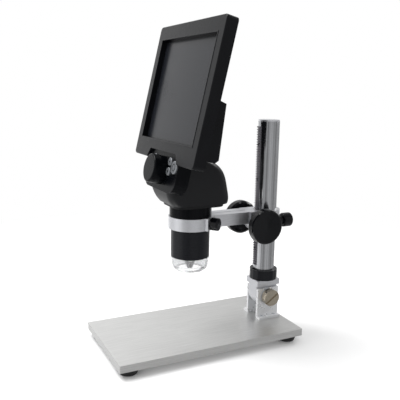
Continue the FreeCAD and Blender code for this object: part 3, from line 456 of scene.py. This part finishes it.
# The nodes that each finish goes to
node_finish = {
    "anodised_aluminium_plate": ["base_plate"],
    "machined_aluminium": ["support_arm", "hinge_block", "column_cap"],
    "polished_stainless_steel": ["column_tube"],
    "nickel_plated_steel": ["tilt_bolt", "pinion_shaft", "focus_shaft", "guide_rods"],
    "bright_zinc_brackets": ["hinge_cheek_left", "hinge_cheek_right"],
    "oiled_steel_rack": ["rack_strip"],
    "zinc_plated_steel": [
        "foot_screws", "cheek_screws", "tilt_washer", "tilt_nut", "collar_grub", "rack_screws",
        "knob_grubs", "lock_screw", "ring_screw", "board_screws", "cover_screws", "board_sockets",
    ],
    "turned_brass": ["shaft_bushes"],
    "moulded_rubber": ["rubber_feet"],
    "satin_black_abs": ["front_bezel", "rear_cover"],
    "matt_black_abs": [
        "neck_front_shell", "neck_rear_shell", "neck_base", "sensor_mount", "lens_carriage",
        "nose_cone",
    ],
    "gloss_black_abs": ["control_pod", "focus_wheel", "barrel_shoulder"],
    "black_anodised_barrel": ["barrel_tube", "column_collar"],
    "black_phenolic": ["coarse_knob_left", "coarse_knob_right", "lock_knob", "ring_screw_knob"],
    "silver_painted_abs": [
        "button_left_high", "button_left_low", "button_left_round",
        "button_right_high", "button_right_low", "button_right_round",
    ],
    "frosted_acrylic": ["led_hood"],
    "display_cover_glass": ["screen_glass"],
    "coated_optical_glass": ["lenses"],
    "display_polariser": ["lcd_module"],
    "solder_masked_board": ["main_board", "led_board", "sensor_board"],
    "black_masked_board": ["switch_board"],
    "shrink_sleeve": ["battery_pack"],
    "white_acetal": ["slide_bushes"],
}

finish_makers = (
    anodised_plate, machined_aluminium, polished_steel, nickel_plate, zinc_plate, turned_brass,
    moulded_rubber, satin_abs, matt_abs, gloss_abs, black_anodised, phenolic, silver_paint,
    frosted_acrylic, cover_glass, optical_glass, display_panel, circuit_board, battery_wrap,
    acetal, bright_zinc, dark_steel, light_phosphor, mark_print, black_board,
)


def colour_property(name, description, hex_colour):
    """A colour that the user picks, whose default is an sRGB hex colour."""
    return FloatVectorProperty(name=name, description=description, subtype="COLOR", size=3,
                               default=linear(hex_colour)[:3], min=0.0, max=1.0)


def length_property(name, description, millimetres):
    """A length that the user sets, whose default is in millimetres."""
    return FloatProperty(name=name, description=description, default=millimetres * MM, min=0.0,
                         unit="LENGTH", precision=5)


class MicroscopeLook(bpy.types.PropertyGroup):
    """Colours and grain sizes of the finishes"""
    plate: colour_property("Plate", "Satin anodised base plate", "#C9C9C8")
    aluminium: colour_property("Aluminium", "Milled arm and hinge block", "#D3D4D8")
    steel: colour_property("Steel", "Polished column tube", "#B4B5B8")
    nickel: colour_property("Nickel", "Plated bolt, shafts and guide rods", "#BDB4A4")
    bracket: colour_property("Brackets", "Clear zinc on the hinge brackets", "#EBECEE")
    rack: colour_property("Rack", "Oiled steel of the rack", "#77757A")
    phosphor: colour_property("Light phosphor", "Cap of each light", "#E6D88A")
    ink: colour_property("Black ink", "Marks on the buttons and mask of their board", "#1C1E22")
    zinc: colour_property("Zinc", "Small plated screws, washer, nut and sockets", "#B4B9BE")
    brass: colour_property("Brass", "Turned bushes", "#C1A057")
    rubber: colour_property("Rubber", "Feet", "#171718")
    housing: colour_property("Screen housing", "Black plastic of the screen housing", "#08090D")
    neck: colour_property("Neck", "Black plastic of the neck", "#07080C")
    pod: colour_property("Pod", "Black plastic of the pod, wheel and shoulder", "#07080B")
    barrel: colour_property("Barrel", "Black anodising of the barrel", "#0A0C12")
    knob: colour_property("Knobs", "Black moulded knobs", "#07080B")
    button: colour_property("Buttons", "Silver paint of the buttons", "#8A8D91")
    hood: colour_property("Hood", "Clear hood over the lights", "#F5F6F7")
    lens_coating: colour_property("Lens coating", "Tint of the coated lenses", "#E6E4F4")
    display: colour_property("Display", "Polariser of the display", "#222529")
    board: colour_property("Circuit board", "Solder mask of the boards", "#1C6038")
    battery: colour_property("Battery", "Sleeve of the battery", "#848D95")
    bush: colour_property("Slide bushes", "White acetal", "#E7E4DB")
    screen: colour_property("Screen", "Display behind the glass, switched off", "#191B20")
    brush_spacing: FloatProperty(
        name="Brush spacing", description="Distance between the lines on the metals",
        default=0.35 * MM, min=0.05 * MM, unit="LENGTH", precision=5,
    )
    spark_grain: FloatProperty(
        name="Mould grain", description="Size of the grain on the black housings",
        default=0.45 * MM, min=0.05 * MM, unit="LENGTH", precision=5,
    )
    screen_border: FloatProperty(
        name="Screen border", description="Width of the black border of the cover glass",
        default=3.0 * MM, min=0.0, unit="LENGTH", precision=4,
    )


class MicroscopeDetail(bpy.types.PropertyGroup):
    """Sizes of the fine pieces"""
    lip_width: length_property("Window lip width", "Width of the lip round the screen window", 1.1)
    lip_proud: length_property("Window lip height", "How far the lip stands out of the bezel", 0.3)
    foot_round: length_property("Foot rounding", "Radius at the lower edge of each foot", 1.4)
    cone_tip: length_property("Nose opening", "Radius of the opening at the tip of the nose", 2.5)
    recess_width: length_property("Cross width", "Width of the cross in the screw heads", 0.75)
    recess_reach: length_property("Cross reach", "Length of each arm of the cross recess", 1.55)
    light_side: length_property("Light side", "Side of each square light", 3.3)
    light_height: length_property("Light height", "Height of each light under its board", 1.5)
    mark_size: length_property("Mark size", "Half width of the arrows on the small buttons", 1.7)
    mark_line: length_property("Mark line", "Width of the printed rings on the large buttons", 0.7)


class MicroscopeStage(bpy.types.PropertyGroup):
    """Floor, light and camera"""
    floor: colour_property("Floor", "Colour of the pale floor", "#F4F4F4")
    floor_radius: FloatProperty(
        name="Floor radius", description="Radius of the round floor",
        default=9.0, min=1.0, unit="LENGTH",
    )
    sweep_start: FloatProperty(
        name="Sweep start", description="Distance at which the floor starts to turn white",
        default=0.3, min=0.1, unit="LENGTH",
    )
    flags: FloatProperty(
        name="Flags", description="Scale of the noise that makes the dark upright cards",
        default=4.0, min=0.0,
    )
    sky_even: FloatProperty(
        name="Even light", description="Strength of the light from all sides",
        default=0.75, min=0.0,
    )
    sky_dark: FloatProperty(
        name="Dim side", description="Brightness of reflections away from the front left",
        default=0.55, min=0.0,
    )
    sky_bright: FloatProperty(
        name="Bright side", description="Brightness of reflections from the front left",
        default=1.3, min=0.0,
    )
    lens: FloatProperty(
        name="Lens", description="Focal length for a 36 mm sensor",
        default=51.0, min=1.0, unit="CAMERA",
    )


class MICROSCOPE_OT_finishes(bpy.types.Operator):
    """Makes every finish and gives it to the pieces whose real surface it is"""
    bl_idname = "microscope.finishes"
    bl_label = "Finishes"

    def execute(self, context):
        for maker in finish_makers:
            maker(context.scene.microscope_look)
        for name, members in node_finish.items():
            for member in members:
                for slot in nodes[member].material_slots:
                    slot.material = finishes[name]
        return {"FINISHED"}


# Welding distance, and the angle from which an edge stays sharp
weld = 1e-7
sharp_angle = math.radians(35)


def place_mesh(mesh, name, finish):
    """Turns a finished bmesh into an object at the origin, whose mesh holds its place."""
    bmesh.ops.recalc_face_normals(mesh, faces=mesh.faces)
    piece = bpy.data.objects.new(name, bpy.data.meshes.new(name))
    mesh.to_mesh(piece.data)
    mesh.free()
    bpy.context.scene.collection.objects.link(piece)
    piece.data.materials.append(finishes[finish])
    return piece


def spun(mesh, profile, middle, steps):
    """Adds a round solid: (radius, height) points turned once round an upright axis."""
    points = [mesh.verts.new(middle + Vector((r, 0.0, z))) for r, z in profile]
    edges = [mesh.edges.new(pair) for pair in zip(points, points[1:])]
    bmesh.ops.spin(mesh, geom=points + edges, cent=middle, axis=(0.0, 0.0, 1.0),
                   angle=2 * math.pi, steps=steps, use_merge=True, use_duplicate=False)
    bmesh.ops.remove_doubles(mesh, verts=mesh.verts, dist=weld)


def soften(mesh, edges, radius):
    """Rounds edges by a small radius."""
    bmesh.ops.bevel(mesh, geom=edges, offset=radius, affect="EDGES", segments=2, profile=0.5,
                    material=-1)


def merge_into(whole, part):
    """Adds one bmesh to another and frees it."""
    passed = bpy.data.meshes.new("passed")
    part.to_mesh(passed)
    part.free()
    whole.from_mesh(passed)
    bpy.data.meshes.remove(passed)


def cut_out(piece, tool):
    """Cuts the tool's shape out of a piece, takes the tool away and gives the piece back."""
    modifier = piece.modifiers.new("cut", "BOOLEAN")
    modifier.object = tool
    modifier.operation = "DIFFERENCE"
    modifier.use_self = True
    graph = bpy.context.evaluated_depsgraph_get()
    shape = bpy.data.meshes.new_from_object(piece.evaluated_get(graph))
    piece.modifiers.clear()
    piece.data = shape
    bpy.data.objects.remove(tool)
    return piece


def crisp(piece):
    """Shades the round faces smoothly and keeps the sharp edges crisp."""
    piece.data.shade_smooth()
    piece.data.set_sharp_from_angle(angle=sharp_angle)


# The screen housing leans back, so its pieces are made upright and then set on this foot point
screen_foot = Vector((0.0, -45.5, 184.6)) * MM
screen_lean = math.radians(-13.2)
screen_seat = Matrix.Translation(screen_foot) @ Matrix.Rotation(screen_lean, 4, "X")
# Half the width of its window, and the window's lower and upper edges above the foot point
window_half = 59.0 * MM
window_low = 18.7 * MM
window_high = 115.7 * MM
# The screws of its rear cover: distance to each side, and heights above the foot point
cover_screw_side = 64.25 * MM
cover_screw_heights = (13.0 * MM, 65.0 * MM, 119.6 * MM)
# The buttons in their panel: name, x and height in millimetres from the foot point
button_spots = (
    ("left_high", -17.6, 1.4), ("left_low", -17.6, -7.7), ("left_round", -28.5, -2.8),
    ("right_high", 17.6, 1.4), ("right_low", 17.6, -7.7), ("right_round", 28.5, -2.8),
)
# Turns for what is made facing up, to face the front or the back
to_front = Matrix.Rotation(math.radians(90), 4, "X")
to_back = Matrix.Rotation(math.radians(-90), 4, "X")
# A point on the upright axis of the barrel
barrel_axis = Vector((0.0, -13.7, 0.0)) * MM


class MICROSCOPE_OT_window_lip(bpy.types.Operator):
    """Makes the moulded lip that frames the screen window"""
    bl_idname = "microscope.window_lip"
    bl_label = "Window lip"

    def execute(self, context):
        detail = context.scene.microscope_detail
        mesh = bmesh.new()
        bmesh.ops.create_grid(mesh, x_segments=1, y_segments=1, size=1.0)
        width = window_half + detail.lip_width
        height = (window_high - window_low) / 2 + detail.lip_width
        middle = (window_low + window_high) / 2
        bmesh.ops.scale(mesh, verts=mesh.verts, vec=(width, height, 1.0))
        inner = bmesh.ops.inset_region(mesh, faces=mesh.faces, thickness=detail.lip_width,
                                       use_boundary=True, use_even_offset=True)
        ring = set(inner["faces"])
        opening = [face for face in mesh.faces if face not in ring]
        bmesh.ops.delete(mesh, geom=opening, context="FACES")
        raised = bmesh.ops.extrude_face_region(mesh, geom=list(mesh.faces))
        top = [item for item in raised["geom"] if isinstance(item, bmesh.types.BMVert)]
        bmesh.ops.translate(mesh, verts=top, vec=(0.0, 0.0, detail.lip_proud))
        edges = [edge for edge in mesh.edges if all(vert in top for vert in edge.verts)]
        rounding = 0.6 * detail.lip_proud
        soften(mesh, edges, rounding)
        stand = Matrix.Translation((0.0, 0.0, middle)) @ to_front
        bmesh.ops.transform(mesh, matrix=screen_seat @ stand, verts=mesh.verts)
        piece = place_mesh(mesh, "window_lip", "satin_black_abs")
        crisp(piece)
        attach(piece, "head")
        return {"FINISHED"}


class MICROSCOPE_OT_rubber_feet(bpy.types.Operator):
    """Makes the four rounded rubber feet, each with a well for its screw"""
    bl_idname = "microscope.rubber_feet"
    bl_label = "Rubber feet"

    def execute(self, context):
        detail = context.scene.microscope_detail
        low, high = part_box("rubber_feet")
        screw_low, screw_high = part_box("foot_screws")
        height = high.z - low.z
        # Radius of the screw heads, so how far the box of the screws is outside their axes
        screw_head = 3.2 * MM
        # Radius under the plate, how much smaller it is below, and the flange at the top
        reach = 10.5 * MM
        taper = 2.0 * MM
        flange = 0.3 * MM
        flange_edge = 0.5 * MM
        flange_foot = 0.9 * MM
        # The hole for the screw, and the well for its head with a chamfer at the mouth
        hole = 1.55 * MM
        well = 3.5 * MM
        depth = 3.0 * MM
        chamfer = 0.4 * MM
        soft = detail.foot_round
        arc_steps = 4
        profile = [
            (hole, height), (hole, depth), (well, depth), (well, chamfer), (well + chamfer, 0.0),
        ]
        for step in range(arc_steps + 1):
            turn = math.radians(90 * step / arc_steps)
            out = reach - taper - soft + soft * math.sin(turn)
            profile.append((out, soft - soft * math.cos(turn)))
        profile += [
            (reach - flange, height - flange_foot), (reach, height - flange_edge),
            (reach, height), (hole, height),
        ]
        mesh = bmesh.new()
        for x in (screw_low.x, screw_high.x):
            for y in (screw_low.y, screw_high.y):
                spot_x = x - math.copysign(screw_head, x)
                spot_y = y - math.copysign(screw_head, y)
                spun(mesh, profile, Vector((spot_x, spot_y, low.z)), steps=40)
        piece = place_mesh(mesh, "rounded_feet", "moulded_rubber")
        crisp(piece)
        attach(piece, "base")
        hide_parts("rubber_feet")
        return {"FINISHED"}


class MICROSCOPE_OT_nose(bpy.types.Operator):
    """Makes the dark nose that the lens looks through, down to the mouth of the hood"""
    bl_idname = "microscope.nose"
    bl_label = "Nose"

    def execute(self, context):
        detail = context.scene.microscope_detail
        low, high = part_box("nose_cone")
        hood_low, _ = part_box("led_hood")
        # The brim at the top, then a straight neck of this radius, wall and length
        brim = (high.x - low.x) / 2
        brim_height = 2.0 * MM
        wide = 6.2 * MM
        wall = 1.2 * MM
        neck = 2.8 * MM
        # The tip: its height over the mouth of the hood, its rounding and its thin rim
        gap = 0.9 * MM
        edge = 0.5 * MM
        flare = 0.25 * MM
        rim = 0.6 * MM
        rim_top = 0.7 * MM
        seat = high.z - brim_height
        waist = seat - neck
        tip = hood_low.z + gap
        end = detail.cone_tip
        profile = [
            (brim, high.z), (brim, seat), (wide, seat), (wide, waist), (end + flare, tip + edge),
            (end, tip), (end - rim, tip), (end - rim_top, tip + edge), (wide - wall, waist + edge),
            (wide - wall, high.z), (brim, high.z),
        ]
        mesh = bmesh.new()
        spun(mesh, profile, barrel_axis, steps=64)
        piece = place_mesh(mesh, "lens_nose", "matt_black_abs")
        crisp(piece)
        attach(piece, "head")
        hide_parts("nose_cone")
        return {"FINISHED"}


class MICROSCOPE_OT_cover_screws(bpy.types.Operator):
    """Makes the six pan head screws of the rear cover, each with a cross recess"""
    bl_idname = "microscope.cover_screws"
    bl_label = "Cover screws"

    def execute(self, context):
        detail = context.scene.microscope_detail
        # Distances behind the foot point's plane: point of the shank, underside and top of the head
        start = 3.0 * MM
        seat = 10.0 * MM
        top = 11.2 * MM
        # Radii of the point, shank and head, and heights of the cone, the head's side and crown
        point = 1.0 * MM
        shank = 1.28 * MM
        head = 2.6 * MM
        lead = 0.6 * MM
        side = 0.5 * MM
        crown = 0.15 * MM
        profile = [
            (0.0, start), (point, start), (shank, start + lead), (shank, seat), (head, seat),
            (head, seat + side), (0.8 * head, top - crown), (0.4 * head, top), (0.0, top),
        ]
        # Half the height of the tool that cuts the cross, and how far its middle is under the top
        tool_half = 0.5 * MM
        tool_drop = 0.2 * MM
        arm_size = (detail.recess_reach, detail.recess_width / 2, tool_half)
        screws = bmesh.new()
        crosses = bmesh.new()
        for x in (-cover_screw_side, cover_screw_side):
            for z in cover_screw_heights:
                stand = screen_seat @ Matrix.Translation(Vector((x, 0.0, z))) @ to_back
                one = bmesh.new()
                spun(one, profile, Vector(), steps=32)
                bmesh.ops.transform(one, matrix=stand, verts=one.verts)
                merge_into(screws, one)
                for angle in (45, 135):
                    turn = Matrix.Rotation(math.radians(angle), 3, "Z")
                    arm = bmesh.new()
                    bmesh.ops.create_cube(arm, size=2.0)
                    bmesh.ops.scale(arm, verts=arm.verts, vec=arm_size)
                    bmesh.ops.rotate(arm, verts=arm.verts, matrix=turn)
                    bmesh.ops.translate(arm, verts=arm.verts, vec=(0.0, 0.0, top - tool_drop))
                    bmesh.ops.transform(arm, matrix=stand, verts=arm.verts)
                    merge_into(crosses, arm)
        piece = cut_out(place_mesh(screws, "cover_screw_heads", "zinc_plated_steel"),
                        place_mesh(crosses, "cover_screw_crosses", "zinc_plated_steel"))
        crisp(piece)
        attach(piece, "head")
        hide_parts("cover_screws")
        return {"FINISHED"}


class MICROSCOPE_OT_lights(bpy.types.Operator):
    """Makes the ring of square lights under the hood, each with its cap of phosphor"""
    bl_idname = "microscope.lights"
    bl_label = "Lights"

    def execute(self, context):
        detail = context.scene.microscope_detail
        low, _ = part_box("led_board")
        count = 8
        cap_share = 0.72
        cap_depth = 1.12
        # How far the packages end below the lowest point of the board's node
        below = 0.3 * MM
        ring = 10.1 * MM
        rounding = 0.2 * MM
        half = detail.light_side / 2
        top = low.z + detail.light_height - below
        packages = bmesh.new()
        caps = bmesh.new()
        # Each cap is narrower than its package and comes out a little lower
        layers = (
            (packages, half, top - detail.light_height),
            (caps, cap_share * half, top - cap_depth * detail.light_height),
        )
        for index in range(count):
            round_axis = Matrix.Rotation(math.radians(360 / count * (index + 0.5)), 4, "Z")
            turn = Matrix.Translation(barrel_axis) @ round_axis
            for target, side, bottom in layers:
                one = bmesh.new()
                bmesh.ops.create_cube(one, size=2.0)
                bmesh.ops.scale(one, verts=one.verts, vec=(side, side, (top - bottom) / 2))
                soften(one, list(one.edges), rounding)
                bmesh.ops.translate(one, verts=one.verts, vec=(ring, 0.0, (top + bottom) / 2))
                bmesh.ops.transform(one, matrix=turn, verts=one.verts)
                merge_into(target, one)
        made = (
            (packages, "light_packages", "white_acetal"),
            (caps, "light_caps", "light_phosphor"),
        )
        for mesh, name, finish in made:
            piece = place_mesh(mesh, name, finish)
            crisp(piece)
            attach(piece, "head")
        return {"FINISHED"}


class MICROSCOPE_OT_button_marks(bpy.types.Operator):
    """Prints an arrow on each small button and a ring on each large one"""
    bl_idname = "microscope.button_marks"
    bl_label = "Button marks"

    def execute(self, context):
        detail = context.scene.microscope_detail
        front = 1.6 * MM
        thick = 0.12 * MM
        print_slope = 0.95
        ring_reach = 3.4 * MM
        ring_hole = ring_reach - detail.mark_line
        ring = [
            (ring_hole, 0.0), (ring_reach, 0.0), (ring_reach, thick), (ring_hole, thick),
            (ring_hole, 0.0),
        ]
        for name, x, z in button_spots:
            mesh = bmesh.new()
            if name.endswith("round"):
                spun(mesh, ring, Vector(), steps=32)
            else:
                bmesh.ops.create_cone(mesh, cap_ends=True, segments=3, radius1=detail.mark_size,
                                      radius2=print_slope * detail.mark_size, depth=thick)
                angle = 0 if name.endswith("high") else 180
                turn = Matrix.Rotation(math.radians(angle), 3, "Z")
                bmesh.ops.rotate(mesh, verts=mesh.verts, matrix=turn)
                bmesh.ops.translate(mesh, verts=mesh.verts, vec=(0.0, 0.0, thick / 2))
            spot = Matrix.Translation(Vector((x, 0.0, z)) * MM + Vector((0.0, front, 0.0)))
            bmesh.ops.transform(mesh, matrix=screen_seat @ spot @ to_front, verts=mesh.verts)
            piece = place_mesh(mesh, "mark_" + name, "pad_printed_ink")
            crisp(piece)
            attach(piece, "button_" + name)
        return {"FINISHED"}


class MICROSCOPE_OT_stage(bpy.types.Operator):
    """Sets the pale floor, the soft lights and the camera"""
    bl_idname = "microscope.stage"
    bl_label = "Stage"

    def execute(self, context):
        stage = context.scene.microscope_stage
        set_floor(stage)
        set_sky(stage)
        set_lights()
        set_camera(stage)
        return {"FINISHED"}


def set_floor(stage):
    """A wide pale disc that glows white away from the microscope and isn't in reflections."""
    tree = start_finish("painted_studio_floor")
    cloud = grain(tree, 0.4, 2.0)
    paint = add(tree, "ShaderNodeBsdfPrincipled", {
        "Base Color": tinted(tree, cloud, stage.floor, 0.99, 1.01),
        "Roughness": 0.6, "Specular IOR Level": 0.2,
    })
    place = add(tree, "ShaderNodeTexCoord").outputs["Object"]
    away = add(tree, "ShaderNodeVectorMath", {0: place}, operation="LENGTH").outputs["Value"]
    sweep = add(tree, "ShaderNodeEmission", {"Color": linear("#FFFFFF"), "Strength": 1.0})
    sweep_end = 2 * stage.sweep_start
    both = add(tree, "ShaderNodeMixShader", {
        0: spread(tree, away, 0.0, 1.0, stage.sweep_start, sweep_end),
        1: paint.outputs[0], 2: sweep.outputs[0],
    })
    add(tree, "ShaderNodeOutputMaterial", {"Surface": both.outputs[0]})
    mesh = bmesh.new()
    bmesh.ops.create_circle(mesh, cap_ends=True, segments=96, radius=stage.floor_radius)
    floor = place_mesh(mesh, "studio_floor", "painted_studio_floor")
    floor.visible_glossy = False
    floor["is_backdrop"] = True


# Direction of the bright side, and how directly a reflection faces it at full brightness
bright_side = Vector((-0.80, -0.58, 0.12)).normalized()
bright_full = 0.9
# The dark cards come from a noise over directions, drawn out upright and shifted to place them.
# Its values from card_low to card_high go from card_dim to card_bright
card_stretch = (1.0, 1.0, 0.08)
card_shift = (0.75, 0.0, 0.0)
card_low, card_high = 0.38, 0.62
card_dim, card_bright = 0.55, 1.3


def set_sky(stage):
    """Even light on surfaces, a bright front left with dark cards in mirrors, and a white wall."""
    world = bpy.data.worlds.new("studio")
    bpy.context.scene.world = world
    world.use_nodes = True
    tree = world.node_tree
    tree.nodes.clear()
    white = linear("#FFFFFF")
    aim = add(tree, "ShaderNodeTexCoord").outputs["Generated"]
    toward = add(tree, "ShaderNodeVectorMath", {0: aim, 1: bright_side}, operation="DOT_PRODUCT")
    side_glow = spread(tree, toward.outputs["Value"], stage.sky_dark, stage.sky_bright,
                       0.0, bright_full)
    upright = add(tree, "ShaderNodeMapping", {
        "Vector": aim, "Scale": card_stretch, "Location": card_shift,
    })
    cards = add(tree, "ShaderNodeTexNoise", {
        "Vector": upright.outputs["Vector"], "Scale": stage.flags, "Detail": 1.0,
    })
    card_glow = spread(tree, cards.outputs["Fac"], card_dim, card_bright, card_low, card_high)
    glow = sums(tree, "MULTIPLY", side_glow, card_glow)
    ray = add(tree, "ShaderNodeLightPath").outputs
    even, mirrored, wall = (
        add(tree, "ShaderNodeBackground", {"Color": white, "Strength": strength}).outputs[0]
        for strength in (stage.sky_even, glow, 1.0)
    )
    lit = add(tree, "ShaderNodeMixShader", {0: ray["Is Glossy Ray"], 1: even, 2: mirrored})
    both = add(tree, "ShaderNodeMixShader", {
        0: ray["Is Camera Ray"], 1: lit.outputs[0], 2: wall,
    })
    add(tree, "ShaderNodeOutputWorld", {"Surface": both.outputs[0]})


# Each softbox: name, place it shines from, width, height and power
softboxes = (
    ("key", (-0.6, -0.9, 1.9), 1.2, 1.2, 40.0),
    ("back", (-0.4, 1.6, 1.1), 0.8, 0.6, 12.0),
)


def set_lights():
    """Soft boxes that look at the middle of the microscope."""
    low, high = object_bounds()
    target = (low + high) / 2
    for name, place, width, height, power in softboxes:
        lamp = bpy.data.lights.new(name, "AREA")
        lamp.shape = "RECTANGLE"
        lamp.size = width
        lamp.size_y = height
        lamp.energy = power
        light = bpy.data.objects.new(name, lamp)
        aim = target - Vector(place)
        turn = aim.to_track_quat("-Z", "Y").to_matrix().to_4x4()
        light.matrix_world = Matrix.Translation(place) @ turn
        bpy.context.scene.collection.objects.link(light)


def set_camera(stage):
    """The photograph's view: from the right front, a little above, with a slight roll."""
    place = Vector((487.6, -245.2, 251.7)) * MM
    heading = math.radians(63.64)
    drop = math.radians(11.22)
    roll = math.radians(0.97)
    forward = Vector((
        -math.sin(heading) * math.cos(drop), math.cos(heading) * math.cos(drop), -math.sin(drop),
    ))
    level = Vector((math.cos(heading), math.sin(heading), 0.0))
    above = level.cross(forward)
    right = level * math.cos(roll) + above * math.sin(roll)
    up = above * math.cos(roll) - level * math.sin(roll)
    turn = Matrix((right, up, -forward)).transposed()
    data = bpy.data.cameras.new("photograph_view")
    camera = bpy.data.objects.new("photograph_view", data)
    camera.data.sensor_width = 36.0
    camera.data.lens = stage.lens
    camera.data.clip_start = 0.01
    camera.matrix_world = Matrix.Translation(place) @ turn.to_4x4()
    bpy.context.scene.collection.objects.link(camera)
    bpy.context.scene.camera = camera
    bpy.context.scene.view_settings.view_transform = "Standard"


class MICROSCOPE_PT_sidebar(bpy.types.Panel):
    """Every setting and a button for each operator"""
    bl_label = "Microscope"
    bl_idname = "MICROSCOPE_PT_sidebar"
    bl_space_type = "VIEW_3D"
    bl_region_type = "UI"
    bl_category = "Microscope"

    def draw(self, context):
        layout = self.layout
        scene = context.scene
        for group in (scene.microscope_look, scene.microscope_detail, scene.microscope_stage):
            box = layout.box()
            for name in group.bl_rna.properties.keys():
                if name not in {"rna_type", "name"}:
                    box.prop(group, name)
        for operator in making_order:
            layout.operator(operator.bl_idname)


making_order = (
    MICROSCOPE_OT_finishes, MICROSCOPE_OT_window_lip, MICROSCOPE_OT_rubber_feet,
    MICROSCOPE_OT_nose, MICROSCOPE_OT_cover_screws, MICROSCOPE_OT_lights,
    MICROSCOPE_OT_button_marks, MICROSCOPE_OT_stage,
)
groups = (MicroscopeLook, MicroscopeDetail, MicroscopeStage)
classes = groups + making_order + (MICROSCOPE_PT_sidebar,)


def register():
    """Registers the classes and gives the scene its settings."""
    for item in classes:
        bpy.utils.register_class(item)
    bpy.types.Scene.microscope_look = PointerProperty(type=MicroscopeLook)
    bpy.types.Scene.microscope_detail = PointerProperty(type=MicroscopeDetail)
    bpy.types.Scene.microscope_stage = PointerProperty(type=MicroscopeStage)


def unregister():
    """Takes the settings and the classes away again."""
    del bpy.types.Scene.microscope_stage
    del bpy.types.Scene.microscope_detail
    del bpy.types.Scene.microscope_look
    for item in reversed(classes):
        bpy.utils.unregister_class(item)


def main():
    """Registers the add-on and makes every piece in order."""
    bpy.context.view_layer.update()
    register()
    bpy.ops.microscope.finishes()
    bpy.ops.microscope.window_lip()
    bpy.ops.microscope.rubber_feet()
    bpy.ops.microscope.nose()
    bpy.ops.microscope.cover_screws()
    bpy.ops.microscope.lights()
    bpy.ops.microscope.button_marks()
    bpy.ops.microscope.stage()


if __name__ == "__main__":
    main()
